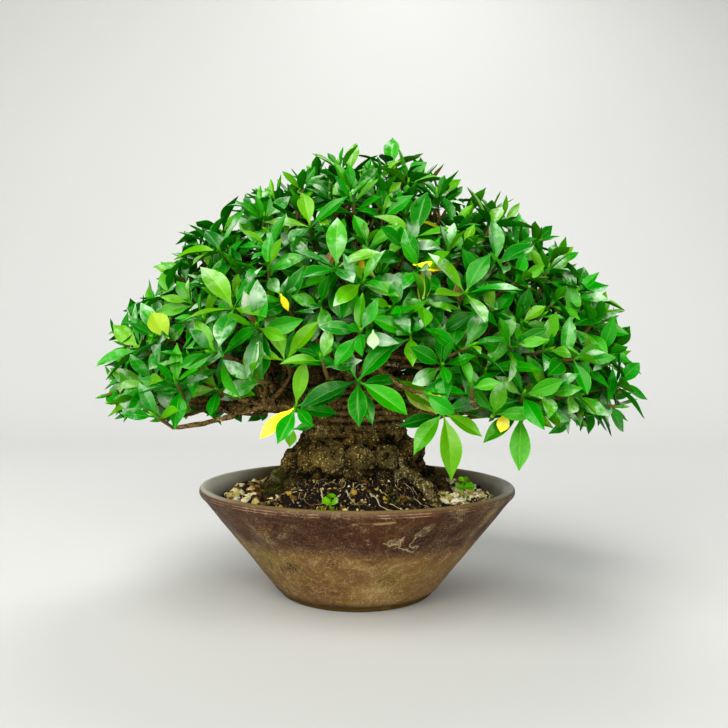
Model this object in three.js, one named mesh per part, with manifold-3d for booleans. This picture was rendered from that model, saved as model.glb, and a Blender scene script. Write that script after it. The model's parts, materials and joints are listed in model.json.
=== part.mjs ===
// Gardenia bonsai in a cone-shaped clay pot.
// Millimetres, +Z up, front towards -Y. The origin is the middle of the pot's underside.

import * as THREE from 'three';
import { mergeVertices } from 'three/addons/utils/BufferGeometryUtils.js';
import Module from 'manifold-3d';

const wasm = await Module();
wasm.setup();
const { Manifold, Mesh } = wasm;

const DEG = Math.PI / 180;
const UP = new THREE.Vector3(0, 0, 1);
const CLEAR = 0.3; // gap between neighbouring pieces

// Pot
const RIM_RADIUS = 103;
const POT_HEIGHT = 70;
const FOOT_RADIUS = 50.5;
const CONE_RADIUS = 53.4; // cone just above the foot band
const FOOT_BAND = 3.4;
const FLOOR_TOP = 8;
const WALL = 6.5; // wall thickness, measured along the radius
const POT_SIDES = 36;
const DRAIN_RADIUS = 6;
const DRAIN_PITCH = 28; // drain holes from the pot's axis

// Soil
const SOIL_EDGE_RADIUS = 89.5;
const SOIL_EDGE_HEIGHT = 60.5;
const SOIL_MOUND = 7.5; // rise from the pot's wall to the trunk
const SOIL_SIDES = 30;
const GRAIN_SIZE = 5.6;
const GRAIN_COUNT = 36;

// Trunk
const ROOT_PLUG_BOTTOM = 44;
const SOIL_LINE = 66; // below this the root plug is a plain prism
const TRUNK_SIDES = 26;
const TRUNK_TOP = 170; // where the trunk has run out into its limbs
const PLUG_X = -2; // middle of the root plug
const HOLE_TOP = 90; // the room for the root plug is cut up to here, clear of the soil

// Crown
const CROWN_CENTRE = new THREE.Vector3(8, -6, 128);
const CROWN_REACH = { side: 190, front: 136, top: 176 };
const LEAF_LENGTH = 26;
const LEAF_SLIMNESS = 0.46; // width over length
const RIB_THICKNESS = 1.3;
const STEM_RADIUS = 1.2; // to the flat sides of the five-sided stem
const STEM_CORNER = STEM_RADIUS / Math.cos(36 * DEG);
const BUD_HEIGHT = 3.2;
const RULE_SHOOTS = 46;
const NEAREST_SHOOT = 28; // least distance between two whorls

// Seeded draws, so that every build gives the same tree.
function drawer(seed) {
  let state = seed >>> 0;
  return () => {
    state = (state + 0x6d2b79f5) >>> 0;
    let t = state;
    t = Math.imul(t ^ (t >>> 15), t | 1);
    t ^= t + Math.imul(t ^ (t >>> 7), t | 61);
    return ((t ^ (t >>> 14)) >>> 0) / 4294967296;
  };
}

const point = ([x, y, z]) => new THREE.Vector3(x, y, z);

// Solids: a closed three.js geometry goes in, a solid that can be joined and cut comes out.
function solid(geometry) {
  const bare = geometry.clone();
  bare.deleteAttribute('normal');
  bare.deleteAttribute('uv');
  const welded = mergeVertices(bare, 1e-5);
  return new Manifold(new Mesh({
    numProp: 3,
    vertProperties: Float32Array.from(welded.attributes.position.array),
    triVerts: Uint32Array.from(welded.index.array),
  }));
}

function geometryOf(body) {
  const { vertProperties, triVerts } = body.getMesh();
  const geometry = new THREE.BufferGeometry();
  geometry.setAttribute('position', new THREE.BufferAttribute(vertProperties, 3));
  geometry.setIndex(new THREE.BufferAttribute(triVerts, 1));
  geometry.computeVertexNormals();
  return geometry;
}

// A closed body from rings of points, all of one count and running anticlockwise seen from the far end.
function loft(rings, start, end) {
  const sides = rings[0].length;
  const points = [...rings.flat(), start, end];
  const faces = [];
  const last = (rings.length - 1) * sides;
  for (let i = 0; i < sides; i += 1) {
    const j = (i + 1) % sides;
    faces.push(points.length - 2, j, i);
    faces.push(points.length - 1, last + i, last + j);
    for (let base = 0; base < last; base += sides) {
      faces.push(base + i, base + j, base + sides + j);
      faces.push(base + i, base + sides + j, base + sides + i);
    }
  }
  const geometry = new THREE.BufferGeometry().setFromPoints(points);
  geometry.setIndex(faces);
  return solid(geometry);
}

// A tapered limb along a path of points. Its end faces are square to the path, or to a given end.
function limb(path, radii, sides, end = null) {
  const last = path.length - 1;
  const rings = [];
  let across = null;
  path.forEach((centre, i) => {
    const chord = path[Math.min(i + 1, last)].clone().sub(path[Math.max(i - 1, 0)]).normalize();
    const along = i === last && end ? end : chord;
    across = across ?? squareTo(along);
    across.addScaledVector(along, -across.dot(along)).normalize();
    const third = along.clone().cross(across);
    const ring = [];
    for (let k = 0; k < sides; k += 1) {
      const turn = (2 * Math.PI * k) / sides;
      ring.push(centre.clone()
        .addScaledVector(across, radii[i] * Math.cos(turn))
        .addScaledVector(third, radii[i] * Math.sin(turn)));
    }
    rings.push(ring);
  });
  return loft(rings, path[0], path[last]);
}

function squareTo(direction) {
  const other = Math.abs(direction.z) < 0.9 ? UP : new THREE.Vector3(1, 0, 0);
  return other.clone().cross(direction).normalize();
}

// Pot: one fired clay body, turned as a profile, with three drain holes.
function makePot() {
  const wallAt = (height) => CONE_RADIUS
    + ((RIM_RADIUS - 3 - CONE_RADIUS) * (height - FOOT_BAND)) / (POT_HEIGHT - 7 - FOOT_BAND);
  const profile = [
    [0, 0], [FOOT_RADIUS, 0], [FOOT_RADIUS, FOOT_BAND - 0.6], [CONE_RADIUS, FOOT_BAND + 0.6],
    [wallAt(32), 32], [RIM_RADIUS - 3.2, POT_HEIGHT - 7], [RIM_RADIUS - 0.3, POT_HEIGHT - 3.6],
    [RIM_RADIUS, POT_HEIGHT - 2], [RIM_RADIUS - 1.4, POT_HEIGHT - 0.4], [RIM_RADIUS - 3.6, POT_HEIGHT],
    [RIM_RADIUS - 6.2, POT_HEIGHT - 1.6], [wallAt(34) - WALL, 34],
    [wallAt(FLOOR_TOP) - WALL - 2, FLOOR_TOP], [0, FLOOR_TOP],
  ];
  const body = solid(new THREE.LatheGeometry(profile.map(([r, z]) => new THREE.Vector2(r, z)), POT_SIDES)
    .rotateX(Math.PI / 2));
  const drains = [90, 210, 330].map((turn) => solid(
    new THREE.CylinderGeometry(DRAIN_RADIUS, DRAIN_RADIUS, FLOOR_TOP * 3, 12)
      .rotateX(Math.PI / 2)
      .translate(DRAIN_PITCH * Math.cos(turn * DEG), DRAIN_PITCH * Math.sin(turn * DEG), 0),
  ));
  return { body: body.subtract(Manifold.union(drains)), wallAt };
}

// Trunk: the half width in x and y at each height, with lobes that run out into the surface roots.
const TRUNK_STATIONS = [
  // height, half width, centre x, strength of the root lobes
  [ROOT_PLUG_BOTTOM, 48, PLUG_X, 1],
  [SOIL_LINE, 48, PLUG_X, 1],
  [72, 46.5, -2.5, 0.9],
  [79, 44, -3.5, 0.5],
  [88, 41, -3.5, 0.22],
  [99, 34, -2.5, 0.05],
  [110, 29.5, -1.5, 0],
  [119, 30.5, -1, 0],
  [129, 29, 0, 0],
  [144, 25, 3, 0],
  [162, 18, 8, 0],
];
const TRUNK_DEPTH = 0.84; // depth over width
const ROOT_LOBES = [
  // turn from +x, reach, half angle
  [178, 9.5, 13], [-14, 9, 12], [-52, 5, 10], [-88, 3.5, 12],
  [-132, 6, 12], [38, 6, 14], [92, 5, 14], [140, 6, 13],
];

function trunkRing(grow, [height, halfWidth, centreX, lobes]) {
  const ring = [];
  for (let k = 0; k < TRUNK_SIDES; k += 1) {
    const turn = (360 * k) / TRUNK_SIDES;
    let radius = halfWidth * Math.hypot(Math.cos(turn * DEG), TRUNK_DEPTH * Math.sin(turn * DEG));
    ROOT_LOBES.forEach(([at, reach, spread]) => {
      const away = ((turn - at + 540) % 360) - 180;
      radius += lobes * reach * Math.exp(-((away / spread) ** 2));
    });
    if (height > SOIL_LINE) {
      const swell = 0.03 * Math.sin(5 * turn * DEG + height * 0.21);
      radius *= 1 + swell + 0.02 * Math.sin(9 * turn * DEG - height * 0.13);
    }
    radius += grow;
    const x = centreX + radius * Math.cos(turn * DEG);
    ring.push(new THREE.Vector3(x, radius * Math.sin(turn * DEG), height));
  }
  return ring;
}

function makeTrunkBody() {
  const rings = TRUNK_STATIONS.map((station) => trunkRing(0, station));
  const [, , topX] = TRUNK_STATIONS.at(-1);
  const top = new THREE.Vector3(topX, 0, TRUNK_TOP);
  return loft(rings, new THREE.Vector3(PLUG_X, 0, ROOT_PLUG_BOTTOM), top);
}

// The room that the soil leaves for the root plug.
function rootHole() {
  const plug = TRUNK_STATIONS[0];
  const bottom = ROOT_PLUG_BOTTOM - CLEAR;
  const rings = [bottom, HOLE_TOP].map((height) => (
    trunkRing(CLEAR + 0.1, plug).map((corner) => corner.setZ(height))
  ));
  return loft(rings, new THREE.Vector3(PLUG_X, 0, bottom), new THREE.Vector3(PLUG_X, 0, HOLE_TOP));
}

// Burls: where the middle of each lies under the bark, and its size.
const BURLS = [
  [[-16, -24, 86], 15], [[2, -26, 87], 13.5], [[19, -25, 88], 12.5],
  [[-32, -13, 84], 14], [[24, -12, 106], 11], [[35, -11, 92], 12.5],
  [[-22, -12, 104], 13], [[-14, 22, 90], 15], [[20, 20, 95], 14],
];

function makeBurls() {
  return BURLS.map(([at, size], i) => solid(
    new THREE.IcosahedronGeometry(size, 1)
      .rotateZ(i * 0.7)
      .rotateX(i * 0.4)
      .scale(1, 0.92, 0.85)
      .translate(...at),
  ));
}

// Main limbs: points from the trunk outwards, and the radius at each end.
const LIMBS = [
  [[[6, 0, 150], [10, 2, 175], [15, 0, 205], [18, -2, 236]], 15, 4],
  [[[-14, -12, 122], [-45, -28, 124], [-78, -36, 121], [-106, -34, 126]], 9, 3],
  [[[-10, 0, 136], [-50, 4, 148], [-95, 2, 160], [-128, -4, 164]], 8, 2.8],
  [[[-12, 14, 126], [-55, 48, 136], [-96, 66, 140]], 8, 2.8],
  [[[2, 2, 158], [-34, 8, 192], [-66, 4, 218]], 8, 2.6],
  [[[14, -14, 118], [48, -44, 119], [78, -60, 122]], 6.5, 2.6],
  [[[14, -6, 134], [57, -28, 138], [92, -34, 127], [128, -30, 122]], 7, 2.8],
  [[[10, 4, 146], [60, 14, 162], [108, 10, 166], [138, 4, 160]], 8, 2.6],
  [[[10, 14, 126], [58, 56, 136], [100, 62, 138]], 8, 2.8],
  [[[10, 2, 166], [48, 2, 198], [84, 4, 218]], 7, 2.4],
  [[[2, -14, 134], [-4, -52, 143], [4, -80, 152]], 7, 2.6],
  [[[-10, -14, 124], [-34, -54, 126], [-50, -80, 124]], 7, 2.6],
  [[[8, -6, 160], [2, -42, 186], [-8, -66, 196]], 6, 2.4],
  [[[4, 16, 132], [8, 66, 142], [4, 94, 142]], 8, 2.6],
  [[[8, 8, 162], [4, 48, 190], [0, 72, 196]], 6, 2.4],
  [[[12, 0, 196], [-12, 6, 226], [-24, 6, 244]], 5.5, 2.2],
  [[[12, 2, 190], [38, 6, 222], [52, 4, 240]], 5.5, 2.2],
];

function makeLimb([through, thick, thin]) {
  const curve = new THREE.CatmullRomCurve3(through.map(point));
  const steps = through.length;
  const path = curve.getSpacedPoints(steps);
  const radii = path.map((_, i) => THREE.MathUtils.lerp(thick, thin, (i / steps) ** 0.8));
  return { path: curve.getSpacedPoints(14), body: limb(path, radii, 5) };
}

// Shoots that make the tree's face: whorl centre, facing turn and tilt, then each leaf's clock angle
// seen from the front, its lean from the shoot's axis, and its length.
const FACE_SHOOTS = [
  { at: [46, -95, 121], turn: -86, tilt: 12,
    leaves: [[311, 78, 30], [225, 80, 25], [168, 82, 33], [107, 74, 22], [70, 72, 24]] },
  { at: [90, -84, 121], turn: -80, tilt: 8,
    leaves: [[287, 76, 20], [242, 78, 25], [189, 80, 31], [119, 60, 18], [20, 60, 20]] },
  { at: [67, -102, 144], turn: -84, tilt: 20,
    leaves: [[315, 78, 28], [32, 72, 25], [63, 78, 28], [266, 70, 18], [177, 60, 16]] },
  { at: [1, -106, 138], turn: -92, tilt: 16,
    leaves: [[40, 76, 27], [124, 78, 30], [307, 76, 25], [249, 80, 31], [180, 66, 24]] },
  { at: [-32, -98, 124], turn: -96, tilt: 10,
    leaves: [[12, 70, 24], [62, 78, 27], [230, 74, 23], [135, 60, 16], [187, 70, 22]] },
  { at: [-37, -102, 148], turn: -95, tilt: 22,
    leaves: [[330, 76, 28], [36, 74, 27], [284, 72, 20], [86, 80, 27]] },
  { at: [8, -98, 167], turn: -90, tilt: 28,
    leaves: [[9, 66, 22], [284, 76, 23], [104, 70, 19], [180, 50, 16], [65, 60, 18]] },
  { at: [123, -66, 130], turn: -45, tilt: 12,
    leaves: [[75, 70, 36], [133, 66, 30], [200, 60, 18], [320, 60, 26], [10, 60, 26]] },
  { at: [146, -34, 127], turn: -20, tilt: 6,
    leaves: [[60, 60, 28], [120, 55, 30], [180, 60, 24], [290, 60, 24], [0, 66, 24]] },
  { at: [-121, -54, 129], turn: -125, tilt: 14,
    leaves: [[357, 70, 29], [311, 66, 34], [241, 66, 30], [272, 58, 28], [68, 66, 23]] },
  { at: [-76, -84, 133], turn: -108, tilt: 16,
    leaves: [[313, 66, 22], [20, 62, 23], [259, 70, 21], [97, 76, 24], [170, 60, 18]] },
  { at: [32, -76, 219], turn: -85, tilt: 36,
    leaves: [[15, 62, 28], [90, 70, 24], [160, 66, 22], [225, 66, 24], [300, 66, 24]] },
  { at: [-27, -72, 225], turn: -100, tilt: 38,
    leaves: [[345, 60, 24], [50, 66, 26], [120, 70, 24], [200, 66, 22], [275, 70, 25]] },
  { at: [21, -4, 280], turn: -70, tilt: 78,
    leaves: [[20, 34, 27], [95, 62, 24], [150, 66, 24], [215, 66, 24], [280, 62, 24]] },
  { at: [-7, -14, 272], turn: -110, tilt: 66,
    leaves: [[10, 30, 24], [80, 60, 22], [170, 66, 24], [250, 60, 24], [310, 60, 22]] },
];

// The crown's outline is a rounded cone: how far it reaches at a turn and at a rise from 0 to 1.
const CROWN_ROUNDNESS = 1.5;

function crownPoint(turn, rise, part) {
  const flat = (1 - rise ** CROWN_ROUNDNESS) ** (1 / CROWN_ROUNDNESS);
  return new THREE.Vector3(
    CROWN_CENTRE.x + part * CROWN_REACH.side * flat * Math.cos(turn * DEG),
    CROWN_CENTRE.y + part * CROWN_REACH.front * flat * Math.sin(turn * DEG),
    CROWN_CENTRE.z + part * CROWN_REACH.top * rise,
  );
}

// Shoots grow square to the crown's outline and a little upwards.
function outward(at) {
  const out = at.clone().sub(CROWN_CENTRE);
  out.x /= CROWN_REACH.side ** 2;
  out.y /= CROWN_REACH.front ** 2;
  out.z /= CROWN_REACH.top ** 2;
  out.normalize();
  out.z += 0.22;
  return out.normalize();
}

function facing(turn, tilt) {
  return new THREE.Vector3(
    Math.cos(tilt * DEG) * Math.cos(turn * DEG),
    Math.cos(tilt * DEG) * Math.sin(turn * DEG),
    Math.sin(tilt * DEG),
  );
}

// A shoot is a five-sided stem with two whorls of leaves. Each leaf grows out of one side of the stem
// and is [clock, lean, length, arch, twist]; null leaves that side bare.
const WHORL = 5;
const WHORL_GAP = 9; // between the two whorls of a shoot
const LEAF_FOOT = 0.9; // half width of a leaf where it leaves the stem
const DRAWN_IN = 0.02; // part by which a leaf tried for room is drawn in at its base

function faceShoot({ at, turn, tilt, leaves }, seed) {
  const draw = drawer(seed);
  const upper = leaves.map((leaf) => [...leaf, 0.06 + 0.1 * draw(), 24 * draw() - 12]);
  const behind = leaves.slice(0, 2).map(([clock]) => [clock + 34, 84, LEAF_LENGTH * 0.8, 0.1, 0]);
  return { at: point(at), along: facing(turn, tilt), stem: 14, upper, lower: behind, fixed: true };
}

function ruleShoot(i, seed) {
  const draw = drawer(seed);
  const turn = 137.508 * i + 12 * draw();
  const rise = 1 - (1 - (i + 0.5) / RULE_SHOOTS) ** 0.62;
  const at = crownPoint(turn, rise, 0.84 + 0.05 * draw());
  at.z += rise < 0.1 ? -6 * draw() : 0;
  const start = 360 * draw();
  const whorl = (clock, lean, length) => Array.from({ length: WHORL }, (_, k) => [
    clock + 72 * k + 14 * draw() - 7,
    lean + 18 * draw(),
    LEAF_LENGTH * (length + 0.26 * draw()),
    0.06 + 0.12 * draw(),
    30 * draw() - 15,
  ]);
  const upper = whorl(start, 50, 0.86);
  const lower = whorl(start + 36, 70, 0.78);
  return { at, along: outward(at), stem: 15 + 4 * draw(), upper, lower };
}

// A leaf that would touch its neighbours is turned or raised a little, in these steps.
const SHIFTS = [
  [0, 0], [12, -4], [-12, -4], [22, -10], [-22, -10], [0, -20], [34, -16], [-34, -16], [0, 14],
];

function clockDirection(along, clock, lean) {
  const rise = UP.clone().addScaledVector(along, -UP.dot(along)).normalize();
  const right = rise.clone().cross(along);
  return along.clone().multiplyScalar(Math.cos(lean * DEG))
    .addScaledVector(rise, Math.cos(clock * DEG) * Math.sin(lean * DEG))
    .addScaledVector(right, Math.sin(clock * DEG) * Math.sin(lean * DEG));
}

function leafFrame({ at, along }, back, [clock, lean, length, arch, twist], [turnBy, leanBy]) {
  const forward = clockDirection(along, clock + turnBy, lean + leanBy);
  const face = along.clone().addScaledVector(UP, 0.5);
  face.addScaledVector(forward, -face.dot(forward)).normalize();
  face.applyAxisAngle(forward, twist * DEG);
  const base = at.clone().addScaledVector(along, -back)
    .addScaledVector(clockDirection(along, clock, 90), STEM_RADIUS);
  return { base, forward, face, length, arch };
}

// The corners of a blade after its base: two three-cornered sections and the tip. Its edges fold up
// from a keel along the rib, and it arches down towards the tip. spare makes it larger all round.
const BLADE_STATIONS = [[0.31, 0.72], [0.63, 0.95]]; // part of the length, part of the half width
const BLADE_FOLD = 0.2;

function bladeCorners({ base, forward, face, length, arch }, spare = 0) {
  const left = face.clone().cross(forward);
  const place = (x, y, z) => base.clone()
    .addScaledVector(forward, x)
    .addScaledVector(left, y)
    .addScaledVector(face, z - (arch * x * x) / length);
  const corners = BLADE_STATIONS.flatMap(([part, wide]) => {
    const x = part * length;
    const half = (wide * length * LEAF_SLIMNESS) / 2 + spare;
    const edge = BLADE_FOLD * half + spare;
    return [place(x, half, edge), place(x, -half, edge), place(x, 0, edge - RIB_THICKNESS - 2 * spare)];
  });
  return [...corners, place(length + spare, 0, 0)];
}

// Faces of a blade from its first section on, where [L, R, K] are left edge, right edge and keel.
function bladeFaces([L, R, K, L2, R2, K2, Q]) {
  return [
    L, R, R2, L, R2, L2, K, L, L2, K, L2, K2, K, K2, R2, K, R2, R,
    L2, R2, Q, K2, L2, Q, K2, Q, R2,
  ];
}

// Faces of a leaf that grows out of a side of the stem, with corners a below it and b above.
function leafFaces([aK, bK, bN, aN], numbers) {
  const [L, R, K] = numbers;
  return [
    bK, bN, R, bK, R, L, aK, bK, L, aK, L, K, aN, K, R, aN, R, bN, aK, K, aN,
    ...bladeFaces(numbers),
  ];
}

// A blade by itself, with a three-cornered base of a given half width.
function makeBlade(frame, foot, spare = 0) {
  const left = frame.face.clone().cross(frame.forward);
  const corner = (y, z) => frame.base.clone().addScaledVector(left, y).addScaledVector(frame.face, z);
  const half = foot + spare;
  const root = [corner(half, half), corner(-half, half), corner(0, -1.4 * half)];
  const points = [...bladeCorners(frame, spare), ...root];
  const geometry = new THREE.BufferGeometry().setFromPoints(points);
  const [L, R, K] = [7, 8, 9];
  const rootFaces = [L, R, 1, L, 1, 0, K, L, 0, K, 0, 2, K, 2, 1, K, 1, R, L, K, R];
  geometry.setIndex([...bladeFaces([0, 1, 2, 3, 4, 5, 6]), ...rootFaces]);
  return solid(geometry);
}

function stemCorner({ at, along }, height, clock) {
  return at.clone().addScaledVector(along, height)
    .addScaledVector(clockDirection(along, clock, 90), STEM_CORNER);
}

// A leaf on its side of the stem, drawn in a little there to be clear of the leaf on the next side.
function makeOwnLeaf(shoot, whorl, back, k, frame) {
  const side = [[-1, -36], [1, -36], [1, 36], [-1, 36]].map(([height, clock]) => (
    stemCorner(shoot, height * LEAF_FOOT - back, whorl.clock + 72 * k + clock)
  ));
  const middle = side[0].clone().lerp(side[2], 0.5);
  const base = side.map((corner) => corner.lerp(middle, DRAWN_IN));
  const geometry = new THREE.BufferGeometry().setFromPoints([...base, ...bladeCorners(frame)]);
  geometry.setIndex([...leafFaces([0, 1, 2, 3], [4, 5, 6, 7, 8, 9, 10]), 0, 3, 1, 1, 3, 2]);
  return solid(geometry);
}

// The whole shoot in one skin: rings up the stem, a leaf or a plain side between the rings of each
// whorl, and a bud at the end. A placed leaf is known by its frame. The sides between the whorls run to
// the nearest sides of the upper one, so that the stem isn't wrung.
function makeShoot(shoot) {
  const { at, along, stem, upper, lower } = shoot;
  const points = [];
  const faces = [];
  const ring = (height, clock) => {
    const start = points.length;
    for (let k = 0; k < WHORL; k += 1) {
      points.push(stemCorner(shoot, height, clock + 72 * k - 36));
    }
    return Array.from({ length: WHORL }, (_, k) => start + k);
  };
  const plainSide = (a, b, k, n) => faces.push(a[n], a[k], b[k], a[n], b[k], b[n]);
  const leafSide = (a, b, k, n, frame) => {
    const corners = bladeCorners(frame);
    const numbers = corners.map((_, i) => points.length + i);
    points.push(...corners);
    faces.push(...leafFaces([a[k], b[k], b[n], a[n]], numbers));
  };
  const join = (a, b, whorl = []) => a.forEach((_, k) => {
    const n = (k + 1) % WHORL;
    if (whorl[k]) {
      leafSide(a, b, k, n, whorl[k]);
    } else {
      plainSide(a, b, k, n);
    }
  });
  const rings = [
    ring(-stem, lower.clock),
    ring(-WHORL_GAP - LEAF_FOOT, lower.clock),
    ring(-WHORL_GAP + LEAF_FOOT, lower.clock),
    ring(-LEAF_FOOT, upper.clock),
    ring(LEAF_FOOT, upper.clock),
  ];
  join(rings[0], rings[1]);
  join(rings[1], rings[2], lower.placed);
  const sidesOn = Math.round((lower.clock - upper.clock) / 72) + 10 * WHORL;
  join(rings[2], rings[3].map((_, k) => rings[3][(k + sidesOn) % WHORL]));
  join(rings[3], rings[4], upper.placed);
  for (let k = 0; k < WHORL; k += 1) {
    faces.push(rings[4][(k + 1) % WHORL], rings[4][k], points.length);
  }
  for (let k = 2; k < WHORL; k += 1) {
    faces.push(rings[0][0], rings[0][k - 1], rings[0][k]);
  }
  points.push(at.clone().addScaledVector(along, BUD_HEIGHT));
  const geometry = new THREE.BufferGeometry().setFromPoints(points);
  return geometry.setIndex(faces);
}

// What stands in the crown so far: wood, stems and leaves, each with its box.
const standing = [];

function stand(owner, body) {
  standing.push({ owner, body, box: body.boundingBox() });
}

function hasRoom(body, among) {
  const { min, max } = body.boundingBox();
  return !standing.filter(({ owner }) => among(owner)).some((other) => {
    const apart = [0, 1, 2].some((k) => min[k] > other.box.max[k] || max[k] < other.box.min[k]);
    return !apart && !body.intersect(other.body).isEmpty();
  });
}

// A twig leaves the nearest point of a limb that lies behind the shoot, and ends square to its stem.
function makeTwig(shoot, limbPoints) {
  const end = shoot.at.clone().addScaledVector(shoot.along, -shoot.stem - CLEAR);
  const reachFrom = (from) => {
    const gap = end.clone().sub(from);
    const ahead = gap.dot(shoot.along) / Math.max(gap.length(), 1);
    return gap.length() * (ahead > 0.35 ? 1 : 3);
  };
  const start = limbPoints.reduce((best, from) => (reachFrom(from) < reachFrom(best) ? from : best));
  const length = start.distanceTo(end);
  const bend = end.clone().addScaledVector(shoot.along, -0.45 * length);
  const curve = new THREE.QuadraticBezierCurve3(start.clone(), bend, end);
  const path = [start, curve.getPoint(0.6), end];
  const thick = 1.9 + 0.014 * length;
  return limb(path, [thick, 0.8 * thick, 1.4], 3, shoot.along);
}

function makeStem({ at, along, stem }, spare = 0) {
  const path = [-stem, BUD_HEIGHT].map((x) => at.clone().addScaledVector(along, x));
  return limb(path, [STEM_CORNER + spare, STEM_CORNER + spare], 6);
}

// Soil: a mound between the pot's wall and the trunk, with grit pressed into its surface.
function soilHeight(x, y) {
  const radius = Math.hypot(x, y);
  const rise = Math.max(0, 1 - radius / SOIL_EDGE_RADIUS);
  const height = SOIL_EDGE_HEIGHT + SOIL_MOUND * (1 - (1 - rise) ** 2.2) ** 0.8;
  if (radius > SOIL_EDGE_RADIUS - 1) {
    return height;
  }
  return height + 0.7 * Math.sin(0.31 * x + 1.3) * Math.cos(0.27 * y) + 0.5 * Math.sin(0.53 * y - 0.41 * x);
}

function makeSoil(wallAt) {
  const inside = (height) => wallAt(height) - WALL - CLEAR - 0.2;
  const steps = [82, 74, 66, 58, 50, 40];
  const profile = [
    [0, FLOOR_TOP + CLEAR], [inside(FLOOR_TOP) - 2.2, FLOOR_TOP + CLEAR], [inside(34), 34],
    [SOIL_EDGE_RADIUS, SOIL_EDGE_HEIGHT], ...steps.map((r) => [r, SOIL_EDGE_HEIGHT]),
    [0, SOIL_EDGE_HEIGHT],
  ];
  const outline = profile.map(([r, z]) => new THREE.Vector2(r, z));
  const turned = new THREE.LatheGeometry(outline, SOIL_SIDES).rotateX(Math.PI / 2);
  const place = turned.attributes.position;
  for (let i = 0; i < place.count; i += 1) {
    if (place.getZ(i) > SOIL_EDGE_HEIGHT - 0.01) {
      place.setZ(i, soilHeight(place.getX(i), place.getY(i)));
    }
  }
  const draw = drawer(77);
  const grains = [];
  for (let i = 0; i < GRAIN_COUNT; i += 1) {
    // Most grit lies at the left and right edges, the rest all round.
    const turn = [180, 0, 360 * draw()][i % 3] + 70 * draw() - 35;
    const size = GRAIN_SIZE * (0.38 + 0.3 * draw());
    const radius = SOIL_EDGE_RADIUS - 4 - (SOIL_EDGE_RADIUS - 66) * draw();
    const x = radius * Math.cos(turn * DEG);
    const y = radius * Math.sin(turn * DEG);
    grains.push(solid(new THREE.OctahedronGeometry(size)
      .rotateX(3 * draw())
      .rotateY(3 * draw())
      .scale(1.15, 0.9, 0.85)
      .translate(x, y, soilHeight(x, y) + 0.05 * size)));
  }
  return Manifold.union([solid(turned), ...grains]).subtract(rootHole());
}

// Clover-like seedlings that have come up in the soil: place, height, and each leaflet's turn.
const SEEDLINGS = {
  seedling_front: { at: [-14, -76], height: 8, leaflets: [20, 140, 260] },
  seedling_right: { at: [66, -34], height: 10, leaflets: [50, 170, 290, 350] },
};

function seedlingRoot({ at: [x, y] }, spare) {
  const path = [-6, 0, 6].map((z) => new THREE.Vector3(x, y, soilHeight(x, y) + z - spare));
  return limb(path, [0.7 + spare, 0.7 + spare, 0.7 + spare], 4);
}

function makeSeedling({ at: [x, y], height, leaflets }) {
  const ground = soilHeight(x, y);
  const path = [-6, 0.5 * height, height].map((z) => new THREE.Vector3(x, y, ground + z));
  const stem = limb(path, [0.7, 0.65, 0.6], 4);
  const blades = leaflets.map((turn, i) => makeBlade({
    base: new THREE.Vector3(x, y, ground + height - 0.8 - 0.3 * i),
    forward: facing(turn, 24),
    face: facing(turn, 24 + 90),
    length: 7,
    arch: 0.1,
  }, 0.2));
  return Manifold.union([stem, ...blades]);
}

// Leaves take the sides of the stem in the order of their clocks, from where that turns them least.
function prepareWhorl(leaves) {
  const count = leaves.length;
  const sorted = leaves.map(([clock, ...rest]) => [THREE.MathUtils.euclideanModulo(clock, 360), ...rest])
    .sort((one, other) => one[0] - other[0]);
  const whorls = sorted.map((_, from) => {
    const order = sorted.map((leaf, k) => sorted[(from + k) % count]);
    const drift = order.map(([clock], k) => clock - 72 * k + (from + k < count ? 0 : 360));
    const [low, high] = [Math.min(...drift), Math.max(...drift)];
    return { leaves: order, clock: (low + high) / 2, spread: high - low, placed: [] };
  });
  return whorls.reduce((best, whorl) => (whorl.spread < best.spread ? whorl : best));
}

function placeLeaf(shoot, whorl, back, k) {
  const tried = SHIFTS.map((shift) => leafFrame(shoot, back, whorl.leaves[k], shift));
  const frame = tried.find((candidate) => {
    const leaf = makeOwnLeaf(shoot, whorl, back, k, candidate);
    return hasRoom(makeBlade(candidate, LEAF_FOOT, CLEAR), (owner) => owner !== shoot.name)
      && shoot.leaves.every((other) => leaf.intersect(other).isEmpty());
  });
  if (frame) {
    stand(shoot.name, makeBlade(frame, LEAF_FOOT));
    shoot.leaves.push(makeOwnLeaf(shoot, whorl, back, k, frame));
    whorl.placed[k] = frame;
  }
}

// One leaf from each shoot in turn, so that no shoot crowds out the others.
function placeWhorls(shoots, which, back) {
  for (let k = 0; k < WHORL; k += 1) {
    shoots.forEach((shoot) => {
      if (k < shoot[which].leaves.length) {
        placeLeaf(shoot, shoot[which], back, k);
      }
    });
  }
}

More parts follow.
